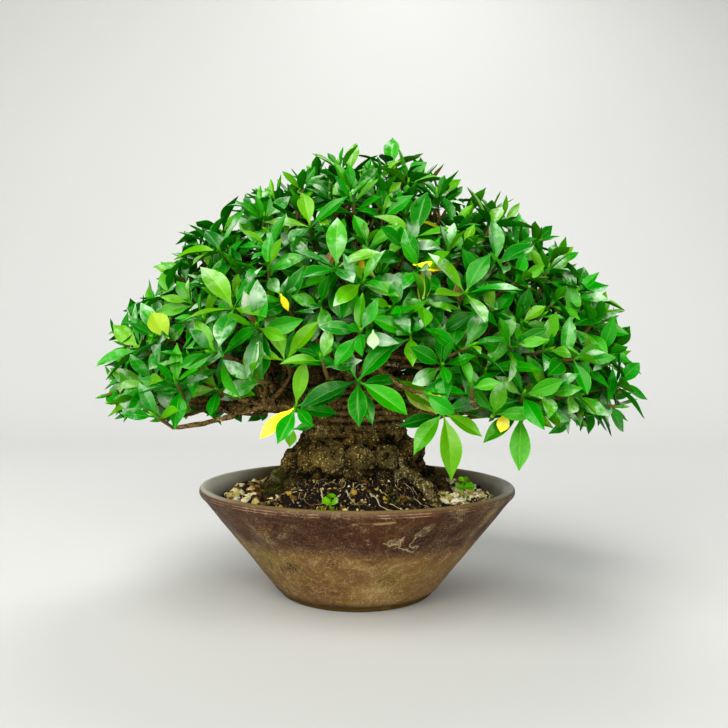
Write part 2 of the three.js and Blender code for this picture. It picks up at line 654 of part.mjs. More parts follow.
// The tree: trunk and limbs first, then each shoot's twig and stem, then the leaves.
function makeTree() {
  const limbs = LIMBS.map(makeLimb);
  const limbPoints = limbs.flatMap((branch) => branch.path.slice(3));
  const wood = [makeTrunkBody(), ...makeBurls(), ...limbs.map((branch) => branch.body)];
  wood.forEach((body) => stand('wood', body));

  const shoots = [];
  const candidates = FACE_SHOOTS.map((face, i) => faceShoot(face, 500 + i));
  for (let i = 0; i < RULE_SHOOTS; i += 1) {
    candidates.push(ruleShoot(i, 900 + i));
  }
  candidates.forEach((shoot) => {
    const near = shoots.some((other) => other.at.distanceTo(shoot.at) < NEAREST_SHOOT);
    const crowded = near && !shoot.fixed;
    const name = `shoot_${String(shoots.length + 1).padStart(2, '0')}`;
    const twig = makeTwig(shoot, limbPoints);
    const stemFits = hasRoom(makeStem(shoot, CLEAR), () => true);
    if (crowded || !stemFits || !hasRoom(twig, (owner) => owner !== 'wood')) {
      return;
    }
    wood.push(twig);
    stand('wood', twig);
    stand(name, makeStem(shoot));
    const upper = prepareWhorl(shoot.upper);
    const lower = prepareWhorl(shoot.lower);
    shoots.push({ ...shoot, name, upper, lower, leaves: [] });
  });

  placeWhorls(shoots, 'upper', 0);
  placeWhorls(shoots, 'lower', WHORL_GAP);
  return { wood: Manifold.union(wood), shoots };
}

const clay = new THREE.MeshStandardMaterial({ color: 0x6b4a3c, roughness: 0.62, metalness: 0 });
const earth = new THREE.MeshStandardMaterial({ color: 0x3a2a1e, roughness: 0.95, metalness: 0 });
const bark = new THREE.MeshStandardMaterial({ color: 0x5a4a30, roughness: 0.9, metalness: 0 });
const leaf = new THREE.MeshStandardMaterial({ color: 0x2f9a1c, roughness: 0.35, metalness: 0 });
const clover = new THREE.MeshStandardMaterial({ color: 0x3fae2a, roughness: 0.5, metalness: 0 });

const bonsai = new THREE.Group();

function add(name, geometry, material) {
  const mesh = new THREE.Mesh(geometry, material);
  mesh.name = name;
  bonsai.add(mesh);
}

const { body: pot, wallAt } = makePot();
const holes = Object.values(SEEDLINGS).map((seedling) => seedlingRoot(seedling, CLEAR));
const tree = makeTree();
add('pot', geometryOf(pot), clay);
add('soil', geometryOf(makeSoil(wallAt).subtract(Manifold.union(holes))), earth);
add('trunk', geometryOf(tree.wood), bark);
tree.shoots.forEach((shoot) => add(shoot.name, makeShoot(shoot), leaf));
Object.entries(SEEDLINGS).forEach(([name, seedling]) => {
  add(name, geometryOf(makeSeedling(seedling)), clover);
});

export default bonsai;
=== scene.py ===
# Gardenia bonsai in a cone-shaped clay pot: the fine form and finish of each piece.
# Shapes are worked out in millimetres, +Z up, front towards -Y, and turned into metres at the end.
import json
import math

import bmesh
import bpy
import numpy as np
from mathutils import Matrix, Quaternion, Vector, noise
from mathutils.kdtree import KDTree

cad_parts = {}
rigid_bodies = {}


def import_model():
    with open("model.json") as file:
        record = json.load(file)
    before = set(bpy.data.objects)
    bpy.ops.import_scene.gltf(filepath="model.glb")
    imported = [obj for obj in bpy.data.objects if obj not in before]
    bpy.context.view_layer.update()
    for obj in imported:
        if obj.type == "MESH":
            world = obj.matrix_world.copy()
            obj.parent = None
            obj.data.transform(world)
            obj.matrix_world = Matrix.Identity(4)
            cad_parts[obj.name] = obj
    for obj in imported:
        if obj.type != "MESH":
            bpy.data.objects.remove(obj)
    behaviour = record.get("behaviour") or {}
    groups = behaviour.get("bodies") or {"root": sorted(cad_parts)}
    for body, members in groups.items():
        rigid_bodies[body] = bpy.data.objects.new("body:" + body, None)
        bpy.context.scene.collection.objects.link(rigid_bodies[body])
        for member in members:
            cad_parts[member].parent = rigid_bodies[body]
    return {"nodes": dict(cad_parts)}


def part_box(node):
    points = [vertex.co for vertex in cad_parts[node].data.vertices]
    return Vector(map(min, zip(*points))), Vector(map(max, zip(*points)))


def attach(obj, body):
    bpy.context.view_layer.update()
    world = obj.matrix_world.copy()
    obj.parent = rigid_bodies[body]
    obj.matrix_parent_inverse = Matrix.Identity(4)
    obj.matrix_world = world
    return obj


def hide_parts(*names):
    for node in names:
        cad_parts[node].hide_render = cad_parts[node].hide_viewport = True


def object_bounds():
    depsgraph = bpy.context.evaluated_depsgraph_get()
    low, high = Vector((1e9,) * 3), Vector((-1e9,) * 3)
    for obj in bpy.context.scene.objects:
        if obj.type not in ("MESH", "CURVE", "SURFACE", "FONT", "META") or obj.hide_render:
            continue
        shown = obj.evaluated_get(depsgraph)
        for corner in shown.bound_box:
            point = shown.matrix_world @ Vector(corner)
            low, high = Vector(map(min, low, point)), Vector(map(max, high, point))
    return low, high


for leftover in list(bpy.data.objects):
    bpy.data.objects.remove(leftover)
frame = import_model()
cad_box = [list(corner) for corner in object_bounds()]

MM = 0.001
UP = Vector((0, 0, 1))
FRONT = -90  # turn of the side that faces the viewer, from +X
NOISE_SEED = 5
noise.seed_set(NOISE_SEED)  # without it, noise vectors would differ from run to run


# The camera stands at the photograph's viewing angle.
CAMERA_AT = (4.0, -456.0, 140.5)
CAMERA_LENS = 33.6
CAMERA_SENSOR = 36
CAMERA_NEAR, CAMERA_FAR = 0.01, 100  # metres
CAMERA_TILT = 1.01  # looks up by this much, degrees
CAMERA_ROLL = -0.3


def in_scene(name, data):
    """A new object that shows in the scene."""
    added = bpy.data.objects.new(name, data)
    bpy.context.scene.collection.objects.link(added)
    return added


def make_camera():
    data = bpy.data.cameras.new("camera")
    data.lens = CAMERA_LENS
    data.sensor_width = CAMERA_SENSOR
    data.clip_start = CAMERA_NEAR
    data.clip_end = CAMERA_FAR
    camera = in_scene("camera", data)
    camera.location = Vector(CAMERA_AT) * MM
    level = Quaternion((1, 0, 0), math.radians(90 + CAMERA_TILT))
    roll = Quaternion((0, 1, 0), math.radians(CAMERA_ROLL))
    camera.rotation_mode = "QUATERNION"
    camera.rotation_quaternion = roll @ level
    bpy.context.scene.camera = camera


WORD = 0xFFFFFFFF  # the largest number of 32 bits
STRIDE = 0x6D2B79F5


def drawer(seed):
    """Seeded draws from 0 to 1, the same as those that placed the shoots of the solids."""
    state = [seed & WORD]

    def multiply(a, b):
        return (a * b) & WORD

    def draw():
        state[0] = (state[0] + STRIDE) & WORD
        t = state[0]
        t = multiply(t ^ (t >> 15), t | 1)
        t ^= (t + multiply(t ^ (t >> 7), t | 61)) & WORD
        return ((t ^ (t >> 14)) & WORD) / (WORD + 1)

    return draw


def turned(turn, tilt=0.0):
    """Direction at a turn from +X and a tilt above the horizon, in degrees."""
    a, e = math.radians(turn), math.radians(tilt)
    return Vector((math.cos(e) * math.cos(a), math.cos(e) * math.sin(a), math.sin(e)))


def paint(code, alpha=1.0):
    """Linear colour from a six-figure screen colour."""
    parts = [int(code[i:i + 2], 16) / 255 for i in (0, 2, 4)]
    linear = [p / 12.92 if p <= 0.04045 else ((p + 0.055) / 1.055) ** 2.4 for p in parts]
    return (*linear, alpha)


# Meshes


class Shape:
    """Points in millimetres, faces by material number, and values kept at the points."""

    def __init__(self):
        self.points = []
        self.quads = []
        self.triangles = []
        self.values = {}
        self.rims = []
        self.count = 0

    def add(self, points, quads=None, triangles=None, material=0, **values):
        points = np.asarray(points, float).reshape(-1, 3)
        for faces, kept in ((quads, self.quads), (triangles, self.triangles)):
            if faces is not None and len(faces):
                kept.append((np.asarray(faces, int) + self.count, material))
        for name, value in values.items():
            value = np.asarray(value, float)
            if value.ndim == 1:
                value = np.broadcast_to(value, (len(points), len(value)))
            self.values.setdefault(name, []).append((self.count, value))
        self.points.append(points)
        self.count += len(points)

    def leaf_rims(self):
        """Which points lie on the rim of a leaf. The leaves are added before anything else."""
        rims = np.concatenate(self.rims)
        return np.concatenate([rims, np.zeros(self.count - len(rims), bool)])

    def to_object(self, name, materials, replaces=(), smooth=True, sharp=None):
        points = np.concatenate(self.points) * MM
        mesh = bpy.data.meshes.new(name)
        mesh.vertices.add(len(points))
        mesh.vertices.foreach_set("co", points.astype(np.float32).ravel())
        corners, sizes, slots = [], [], []
        for kept, size in ((self.quads, 4), (self.triangles, 3)):
            for faces, material in kept:
                corners.append(faces.ravel())
                sizes.append(np.full(len(faces), size))
                slots.append(np.full(len(faces), material))
        corners, sizes, slots = (np.concatenate(part) for part in (corners, sizes, slots))
        mesh.loops.add(len(corners))
        mesh.loops.foreach_set("vertex_index", corners.astype(np.int32))
        mesh.polygons.add(len(sizes))
        starts = np.concatenate([[0], np.cumsum(sizes)[:-1]])
        mesh.polygons.foreach_set("loop_start", starts.astype(np.int32))
        mesh.polygons.foreach_set("material_index", slots.astype(np.int32))
        mesh.polygons.foreach_set("use_smooth", np.full(len(sizes), smooth))
        mesh.update(calc_edges=True)
        for key, pieces in self.values.items():
            whole = np.zeros((len(points), pieces[0][1].shape[1]))
            for start, value in pieces:
                whole[start:start + len(value)] = value
            keep_values(mesh, key, whole)
        if sharp is not None:
            mark_sharp(mesh, sharp)
        return place(name, mesh, materials, replaces)


VALUE_KINDS = {1: ("FLOAT", "value"), 3: ("FLOAT_VECTOR", "vector"), 4: ("FLOAT_COLOR", "color")}


def keep_values(mesh, name, values):
    """Keeps one, three or four numbers at each point of a mesh."""
    kind, field = VALUE_KINDS[values.shape[1]]
    attribute = mesh.attributes.new(name, kind, "POINT")
    attribute.data.foreach_set(field, values.astype(np.float32).ravel())


def edge_ends(mesh):
    ends = np.zeros(len(mesh.edges) * 2, np.int32)
    mesh.edges.foreach_get("vertices", ends)
    return ends.reshape(-1, 2)


def points_of(mesh):
    """The points of a mesh in millimetres, and their normals."""
    places, normals = np.zeros(len(mesh.vertices) * 3), np.zeros(len(mesh.vertices) * 3)
    mesh.vertices.foreach_get("co", places)
    mesh.vertices.foreach_get("normal", normals)
    return places.reshape(-1, 3) / MM, normals.reshape(-1, 3)


def mark_sharp(mesh, rim):
    """Edges between two points of the rim are sharp."""
    both = rim[edge_ends(mesh)].all(axis=1)
    attribute = mesh.attributes.new("sharp_edge", "BOOLEAN", "EDGE")
    attribute.data.foreach_set("value", both)


def mesh_from(bm, name):
    mesh = bpy.data.meshes.new(name)
    bm.to_mesh(mesh)
    bm.free()
    return mesh


def place(name, mesh, materials, replaces=()):
    for material in materials:
        mesh.materials.append(material)
    piece = in_scene(name, mesh)
    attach(piece, "root")
    if replaces:
        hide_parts(*replaces)
    return piece


def applied(piece, kind, **settings):
    """The piece's mesh after one modifier."""
    modifier = piece.modifiers.new(kind.lower(), kind)
    for key, value in settings.items():
        setattr(modifier, key, value)
    shown = piece.evaluated_get(bpy.context.evaluated_depsgraph_get())
    mesh = bpy.data.meshes.new_from_object(shown)
    piece.modifiers.clear()
    old, piece.data = piece.data, mesh
    bpy.data.meshes.remove(old)
    return mesh


def ring_faces(rows, sides):
    """Quads between rings of points that follow one another."""
    k = np.arange(sides)
    n = (k + 1) % sides
    ring = np.stack([k, n, n + sides, k + sides], axis=1)
    return np.concatenate([ring + sides * row for row in range(rows - 1)])


def square_to(direction):
    other = UP if abs(direction.z) < 0.9 else Vector((1, 0, 0))
    return other.cross(direction).normalized()


def tube(shape, path, radii, sides, material=0, rough=0.0, grain=0.1, **values):
    """A round limb along a path, closed at both ends, with an uneven surface.

    A value is the same all over, or a list with one for each ring.
    """
    path = [Vector(p) for p in path]
    last = len(path) - 1
    across = None
    points = []
    for i, centre in enumerate(path):
        along = (path[min(i + 1, last)] - path[max(i - 1, 0)]).normalized()
        across = square_to(along) if across is None else across
        across = (across - along * across.dot(along)).normalized()
        third = along.cross(across)
        for k in range(sides):
            turn = 2 * math.pi * k / sides
            out = across * math.cos(turn) + third * math.sin(turn)
            bump = 1.0
            if rough:
                even = centre + out * radii[i]
                bump += rough * noise.noise(even * grain)
                bump += 0.5 * rough * noise.noise(even * grain * 3.1)
            points.append(centre + out * radii[i] * bump)
    ends = np.arange(sides)
    caps = [[(k + 1) % sides, k, len(points)] for k in ends]
    caps += [[last * sides + k, last * sides + (k + 1) % sides, len(points) + 1] for k in ends]
    points += [path[0], path[last]]
    for name, value in values.items():
        if isinstance(value, list):
            values[name] = [v for v in value for _ in ends] + [value[0], value[last]]
    shape.add(points, quads=ring_faces(last + 1, sides), triangles=caps, material=material, **values)


SPLINE_STEP = 0.05  # part of the way between two knots


def spline(points, steps):
    """Evenly spread points on a smooth line through the given ones."""
    knots = [Vector(p) for p in points]
    knots = [knots[0] * 2 - knots[1], *knots, knots[-1] * 2 - knots[-2]]
    fine = []
    for a, b, c, d in zip(knots, knots[1:], knots[2:], knots[3:]):
        for t in np.arange(0, 1, SPLINE_STEP):
            fine.append(0.5 * ((2 * b) + (c - a) * t + (2 * a - 5 * b + 4 * c - d) * t ** 2
                               + (3 * b - a - 3 * c + d) * t ** 3))
    fine.append(knots[-2])
    lengths = np.concatenate([[0], np.cumsum([(q - p).length for p, q in zip(fine, fine[1:])])])
    wanted = np.linspace(0, lengths[-1], steps + 1)
    table = np.array(fine)
    return [Vector([np.interp(w, lengths, table[:, k]) for k in range(3)]) for w in wanted]


# Node helpers


class Nodes:
    """Short ways to add and join shader nodes."""

    def __init__(self, tree):
        self.tree = tree

    def link(self, value, socket):
        self.tree.links.new(value, socket)

    def give(self, node, inputs):
        """Joins or sets a node's inputs, by their names or numbers."""
        for key, value in inputs.items():
            if isinstance(value, bpy.types.NodeSocket):
                self.link(value, node.inputs[key])
            else:
                node.inputs[key].default_value = value

    def add(self, kind, inputs=None, **settings):
        node = self.tree.nodes.new(kind)
        for key, value in settings.items():
            setattr(node, key, value)
        self.give(node, inputs or {})
        return node

    def group(self, tree, **inputs):
        """The outputs of a shared effect, with its inputs given by their names."""
        return self.add("ShaderNodeGroup", inputs, node_tree=tree).outputs

    def math(self, operation, a, b=None, clamp=False):
        inputs = {0: a} if b is None else {0: a, 1: b}
        return self.add("ShaderNodeMath", inputs, operation=operation, use_clamp=clamp).outputs[0]

    def plus(self, a, b):
        return self.math("ADD", a, b)

    def minus(self, a, b):
        return self.math("SUBTRACT", a, b)

    def times(self, a, b):
        return self.math("MULTIPLY", a, b)

    def apart(self, a, b):
        """How far two values are from each other."""
        return self.math("ABSOLUTE", self.minus(a, b))

    def per_metre(self, size):
        """How often a size in millimetres goes into a metre."""
        return self.math("DIVIDE", 1 / MM, size)

    def vector(self, operation, a, b=None, output="Vector"):
        inputs = {0: a} if b is None else {0: a, "Scale" if operation == "SCALE" else 1: b}
        return self.add("ShaderNodeVectorMath", inputs, operation=operation).outputs[output]

    def distance(self, where, spot):
        """How far each point is from a spot that is given in millimetres."""
        return self.vector("DISTANCE", where, Vector(spot) * MM, "Value")

    def parts(self, vector):
        return tuple(self.add("ShaderNodeSeparateXYZ", {0: vector}).outputs)

    def ramp(self, value, low, high, to_low=0.0, to_high=1.0):
        """value from low to high, eased, becomes to_low to to_high."""
        return self.add("ShaderNodeMapRange", {"Value": value, "From Min": low, "From Max": high,
                                               "To Min": to_low, "To Max": to_high},
                        interpolation_type="SMOOTHSTEP").outputs["Result"]

    def fade(self, value, low, high, to_low=0.0, to_high=1.0):
        """A ramp between two places or sizes that are given in millimetres."""
        return self.ramp(value, low * MM, high * MM, to_low, to_high)

    def mix(self, factor, a, b, blend="MIX"):
        inputs = {0: factor, 6: a, 7: b}
        return self.add("ShaderNodeMix", inputs, data_type="RGBA", blend_type=blend).outputs[2]

    def noise(self, where, scale, detail=4.0, roughness=0.55, output="Fac"):
        return self.add("ShaderNodeTexNoise", {"Vector": where, "Scale": scale, "Detail": detail,
                                               "Roughness": roughness}).outputs[output]

    def where(self):
        return self.add("ShaderNodeTexCoord").outputs["Object"]

    def value_of(self, name, output="Fac"):
        return self.add("ShaderNodeAttribute", attribute_name=name).outputs[output]


def new_group(name, inputs, outputs):
    group = bpy.data.node_groups.new(name, "ShaderNodeTree")
    for direction, sockets in (("INPUT", inputs), ("OUTPUT", outputs)):
        for label, kind, value in sockets:
            socket = group.interface.new_socket(label, in_out=direction, socket_type=kind)
            if value is not None:
                socket.default_value = value
    nodes = Nodes(group)
    return group, nodes, nodes.add("NodeGroupInput").outputs, nodes.add("NodeGroupOutput").inputs


FLOAT, COLOR, VECTOR = "NodeSocketFloat", "NodeSocketColor", "NodeSocketVector"


def speckle_group():
    """Scattered specks of one colour over another, such as lichen, grit or lime."""
    group, nodes, given, out = new_group(
        "speckles",
        [("Where", VECTOR, None), ("Ground", COLOR, (0, 0, 0, 1)), ("Speck", COLOR, (1, 1, 1, 1)),
         ("Size", FLOAT, 2.0), ("Amount", FLOAT, 0.5), ("Patches", FLOAT, 20.0)],
        [("Color", COLOR, None), ("Mask", FLOAT, None)],
    )
    fine = nodes.noise(given["Where"], nodes.per_metre(given["Size"]), 3.0, 0.6)
    broad = nodes.noise(given["Where"], nodes.per_metre(given["Patches"]), 2.0)
    both = nodes.plus(nodes.times(broad, 0.55), nodes.times(fine, 0.6))
    edge = nodes.minus(0.92, nodes.times(given["Amount"], 0.55))
    mask = nodes.math("MULTIPLY", nodes.minus(both, edge), 12.0, clamp=True)
    nodes.link(nodes.mix(mask, given["Ground"], given["Speck"]), out["Color"])
    nodes.link(mask, out["Mask"])
    return group


def grain_group():
    """A height for bumps: coarse pits and fine grain."""
    group, nodes, given, out = new_group(
        "grain",
        [("Where", VECTOR, None), ("Coarse", FLOAT, 3.0), ("Fine", FLOAT, 0.6), ("Share", FLOAT, 0.5)],
        [("Height", FLOAT, None)],
    )
    coarse = nodes.noise(given["Where"], nodes.per_metre(given["Coarse"]), 5.0, 0.6)
    fine = nodes.noise(given["Where"], nodes.per_metre(given["Fine"]), 2.0, 0.6)
    left = nodes.minus(1.0, given["Share"])
    height = nodes.plus(nodes.times(coarse, given["Share"]), nodes.times(fine, left))
    nodes.link(height, out["Height"])
    return group


GRANULE_SWAY = 1.2  # how far the grains' edges wander, mm


def granule_group():
    """Small grains packed side by side: light in the middle of each, and a draw for each."""
    group, nodes, given, out = new_group(
        "granules", [("Where", VECTOR, None), ("Size", FLOAT, 1.5)],
        [("Mask", FLOAT, None), ("Draw", FLOAT, None)],
    )
    scale = nodes.per_metre(given["Size"])
    blur = nodes.noise(given["Where"], scale, 2.0, 0.5, "Color")
    where = nodes.vector("ADD", given["Where"], nodes.vector("SCALE", blur, GRANULE_SWAY * MM))
    cells = nodes.add("ShaderNodeTexVoronoi", {"Vector": where, "Scale": scale}).outputs
    nodes.link(nodes.ramp(cells["Distance"], 0.2, 0.52, 1.0, 0.0), out["Mask"])
    nodes.link(nodes.parts(cells["Color"])[0], out["Draw"])
    return group


def line_group():
    """Nought on fine wandering lines, such as wrinkles or crazing, and more away from them."""
    group, nodes, given, out = new_group(
        "lines",
        [("Where", VECTOR, None), ("Scale", FLOAT, 200.0), ("Detail", FLOAT, 3.0), ("Roughness", FLOAT, 0.6)],
        [("Distance", FLOAT, None)],
    )
    field = nodes.noise(given["Where"], given["Scale"], given["Detail"], given["Roughness"])
    nodes.link(nodes.apart(field, 0.5), out["Distance"])
    return group


def stroke_group():
    """How far a place is from a straight stroke."""
    group, nodes, given, out = new_group(
        "stroke", [("Where", VECTOR, None), ("From", VECTOR, None), ("To", VECTOR, None)],
        [("Distance", FLOAT, None)],
    )
    reach = nodes.vector("SUBTRACT", given["To"], given["From"])
    off = nodes.vector("SUBTRACT", given["Where"], given["From"])
    share = nodes.math("DIVIDE", nodes.vector("DOT_PRODUCT", off, reach, "Value"),
                       nodes.vector("DOT_PRODUCT", reach, reach, "Value"), clamp=True)
    along = nodes.vector("SCALE", reach, share)
    nodes.link(nodes.vector("DISTANCE", off, along, "Value"), out["Distance"])
    return group


SPECKLES = speckle_group()
GRAIN = grain_group()
GRANULES = granule_group()
LINES = line_group()
STROKE = stroke_group()


def new_material(name):
    material = bpy.data.materials.new(name)
    material.use_nodes = True
    return material, Nodes(material.node_tree), material.node_tree.nodes["Principled BSDF"]


def speckled(nodes, where, ground, speck, size, amount, patches):
    made = nodes.group(SPECKLES, Where=where, Ground=ground, Speck=speck, Size=size, Amount=amount,
                       Patches=patches)
    return made["Color"], made["Mask"]


def granules(nodes, where, size):
    made = nodes.group(GRANULES, Where=where, Size=size)
    return made["Mask"], made["Draw"]


def off_lines(nodes, where, scale, detail=3.0, roughness=0.6):
    return nodes.group(LINES, Where=where, Scale=scale, Detail=detail, Roughness=roughness)["Distance"]


def off_stroke(nodes, where, ends):
    """How far each point is from the line between two places that are given in millimetres."""
    start, end = ([v * MM for v in spot] for spot in ends)
    return nodes.group(STROKE, Where=where, From=start, To=end)["Distance"]


def bumped(nodes, shader, where, coarse, fine, share, depth, strength=1.0, extra=None):
    height = nodes.group(GRAIN, Where=where, Coarse=coarse, Fine=fine, Share=share)["Height"]
    if extra is not None:
        height = nodes.plus(height, extra)
    bump = nodes.add("ShaderNodeBump", {"Height": height, "Distance": depth * MM, "Strength": strength})
    nodes.link(bump.outputs["Normal"], shader.inputs["Normal"])


# Leaves

RIB_HALF = 0.08  # half width of the rib's strip, as a part of the blade's half width
FINE_COLUMNS = (-1, -0.64, -0.3, -RIB_HALF, RIB_HALF, 0.3, 0.64, 1)
PLAIN_COLUMNS = (-1, -0.5, -RIB_HALF, RIB_HALF, 0.5, 1)
INNER_COLUMNS = (-1, -RIB_HALF, RIB_HALF, 1)
STALK = 0.11  # part of a leaf's length that is stalk
STALK_HALF = 0.55  # half width of the stalk, mm
POINT_HALF = 0.12  # half width at a leaf's very end, mm
BLADE_SKIN = 0.34  # thickness of the blade between its veins, mm
QUILT = 0.16  # how far the blade bulges between its side veins, mm
RIB_SPREAD = 0.14  # how far out the rib reaches, as a part of the blade's half width
RIB_GROOVE = 0.12  # how deep the rib lies in the upper side, mm
RIB_KEEL = 0.6  # how far the rib stands out underneath, mm


class LeafPattern:
    """The grid of points that every leaf of one fineness has."""

    def __init__(self, rows, columns):
        t, s = np.meshgrid(np.linspace(0, 1, rows), columns, indexing="ij")
        count = len(columns)
        self.rim = (np.abs(s) == 1) | (t == 0) | (t == 1)
        top = np.arange(t.size).reshape(t.shape)
        under = top.copy()
        under[~self.rim] = t.size + np.arange((~self.rim).sum())
        self.row = np.arange(rows)[:, None] + 0 * s
        self.t, self.s = t, s
        self.inner = (~self.rim).ravel()
        self.along, self.across = (np.concatenate([v.ravel(), v.ravel()[self.inner]]) for v in (t, s))
        i, j = np.meshgrid(np.arange(rows - 1), np.arange(count - 1), indexing="ij")
        corners = [(i, j), (i + 1, j), (i + 1, j + 1), (i, j + 1)]
        self.top_faces = np.stack([top[a, b].ravel() for a, b in corners], axis=1)
        self.under_faces = np.stack([under[a, b].ravel() for a, b in corners[::-1]], axis=1)
        self.rim_points = np.concatenate([self.rim.ravel(), np.zeros(self.inner.sum(), bool)])


FINE_LEAF = LeafPattern(13, FINE_COLUMNS)
PLAIN_LEAF = LeafPattern(8, PLAIN_COLUMNS)
INNER_LEAF = LeafPattern(6, INNER_COLUMNS)


def blade_outline(t, foot, tip):
    """Half width along a leaf as a part of its largest: the powers shape its foot and its tip."""
    s = np.clip((t - STALK) / (1 - STALK), 0, 1)
    peak = foot / (foot + tip)
    return s ** foot * (1 - s) ** tip / (peak ** foot * (1 - peak) ** tip)


def leaf_points(leaf, pattern):
    """The points of one leaf, its top first and then the inner ones of its underside."""
    t, s = pattern.t, pattern.s
    length, half = leaf["length"], leaf["width"] / 2
    stalk = np.clip(1 - (t / STALK), 0, 1) ** 0.5
    reach = half * blade_outline(t, leaf["foot"], leaf["tip"])
    reach = np.maximum(reach, STALK_HALF * np.clip(1.25 - t / 0.3, 0, 1))
    reach = np.maximum(reach, POINT_HALF)
    side = np.abs(s)
    x = t * length + 0.3 * side * reach * np.sin(math.pi * t)
    y = s * reach
    lift = leaf["fold"] * side * reach - leaf["arch"] * x * x / length
    lift += leaf["curl"] * side ** 2 * reach * np.sin(math.pi * t)
    quilt = QUILT * np.where(pattern.row % 2 == 0, 1, -1) * np.sin(math.pi * side) * np.sin(math.pi * t)
    ripple = leaf["wave"] * reach * side ** 2 * np.sin(leaf["phase"] + s * 1.3 + t * 9)
    top = lift + quilt + ripple + 0.4 * stalk * (1 - s * s)
    rib = np.exp(-(s / RIB_SPREAD) ** 2)
    top = top - RIB_GROOVE * rib * (1 - stalk)
    thick = BLADE_SKIN + RIB_KEEL * rib * (1 - 0.7 * t) + 0.35 * stalk
    under = top - thick
    under[pattern.rim] = top[pattern.rim]
    turn = leaf["twist"] * (t - 0.2)
    cos, sin = np.cos(turn), np.sin(turn)
    layers = []
    for z, keep in ((top, slice(None)), (under, pattern.inner)):
        flat = np.stack([x, y * cos - z * sin, y * sin + z * cos], axis=-1).reshape(-1, 3)
        layers.append(flat[keep])
    local = np.concatenate(layers)
    axes = np.array([leaf["forward"], leaf["left"], leaf["face"]])
    return np.array(leaf["base"]) + local @ axes


def add_leaf(shape, leaf, pattern):
    """A leaf with its top as material 0 and its underside as material 1."""
    points = leaf_points(leaf, pattern)
    blade = np.stack([pattern.along, pattern.across, np.full(len(points), leaf["draw"])], axis=1)
    start = shape.count
    shape.add(points, quads=pattern.top_faces, blade=blade, tint=leaf["tint"])
    shape.quads.append((pattern.under_faces + start, 1))
    shape.rims.append(pattern.rim_points)


# Leaf colours, as the albedo of the blade's upper side.
LEAF_COLOURS = {
    "deep": paint("026501"),
    "full": paint("058d01"),
    "bright": paint("589a03"),
    "young": paint("86bd0c"),
    "blue": paint("075a1a"),
    "yellow": paint("f0e60a"),
    "faded": paint("93a80e"),
    "gold": paint("dcd016"),
    "pale": paint("93b52a"),
    "cream": paint("a9c292"),
    "brown": paint("6e4612"),
    "wood": paint("6e5836"),
}


def blend(a, b, share):
    return tuple(p + (q - p) * share for p, q in zip(a, b))


FADED_BELOW, BROWN_BELOW, BLUE_BELOW = 0.01, 0.014, 0.09  # limits of a draw from 0 to 1


def leaf_tint(draw, age, colour=None):
    """Colour of one leaf: bright at the end of a shoot, deep green lower down."""
    if colour:
        return LEAF_COLOURS[colour]
    chance = draw()
    if chance < FADED_BELOW:
        return LEAF_COLOURS["faded"]
    if chance < BROWN_BELOW:
        return LEAF_COLOURS["brown"]
    if chance < BLUE_BELOW:
        return blend(LEAF_COLOURS["blue"], LEAF_COLOURS["full"], draw())
    light = draw() * (1.15 - 0.6 * age)
    if light < 0.45:
        return blend(LEAF_COLOURS["deep"], LEAF_COLOURS["full"], light / 0.45)
    return blend(LEAF_COLOURS["full"], LEAF_COLOURS["bright"], min(1, (light - 0.45) / 0.5))


def clock_direction(along, clock, lean):
    """Direction at a clock angle round a shoot that leans away from the shoot's own direction."""
    rise = (UP - along * UP.dot(along)).normalized()
    right = rise.cross(along)
    c, e = math.radians(clock), math.radians(lean)
    return along * math.cos(e) + rise * (math.cos(c) * math.sin(e)) + right * (math.sin(c) * math.sin(e))


STEM_RADIUS = 1.2
LEAF_SLIMNESS = 0.44
LEAF_SUNK = 0.8  # how deep the foot of a leaf stands in its stem, mm


def leaf_at(at, along, back, entry, shift=(0, 0), towards=(0, 0, 0)):
    """Base and directions of a leaf on a shoot: entry is its clock, lean, length, arch and twist."""
    clock, lean, length, arch, twist = entry
    forward = clock_direction(along, clock + shift[0], lean + shift[1])
    face = along + UP * 0.5 + Vector(towards)
    face = (face - forward * face.dot(forward)).normalized()
    face.rotate(Quaternion(forward, math.radians(twist)))
    base = at - along * back + clock_direction(along, clock, 90) * STEM_RADIUS
    return {"base": base, "forward": forward, "face": face, "left": face.cross(forward),
            "length": length, "arch": arch}


def dress(leaf, draw, age, colour=None):
    """Gives a leaf its own width, curl and colour."""
    leaf["width"] = leaf["length"] * LEAF_SLIMNESS * (0.8 + 0.2 * draw())
    leaf["foot"] = 0.85 + 0.25 * draw()
    leaf["tip"] = 1.0 + 0.35 * draw()
    leaf["fold"] = 0.1 + 0.32 * draw()
    leaf["curl"] = 0.2 * (draw() - 0.35)
    leaf["wave"] = 0.09 * draw()
    leaf["arch"] += 0.3 * (draw() - 0.3)
    leaf["phase"] = 6.28 * draw()
    leaf["twist"] = 0.5 * (draw() - 0.5)
    leaf["draw"] = draw()
    leaf["tint"] = leaf_tint(draw, age, colour)
    leaf["base"] = leaf["base"] - leaf["forward"] * LEAF_SUNK
    leaf["length"] += LEAF_SUNK
    return leaf


# Shoots: the same list of whorls as the solids have, so that each leaf is found again.
LEAF_LENGTH = 26
WHORL_GAP = 9
RULE_SHOOTS = 46
GOLDEN_TURN = 137.508  # from one to the next, so that they spread evenly
CROWN_CENTRE = Vector((8, -6, 128))
CROWN_REACH = (190, 136, 176)
CROWN_ROUNDNESS = 1.5
SHIFTS = ((0, 0), (12, -4), (-12, -4), (22, -10), (-22, -10), (0, -20), (34, -16), (-34, -16), (0, 14))

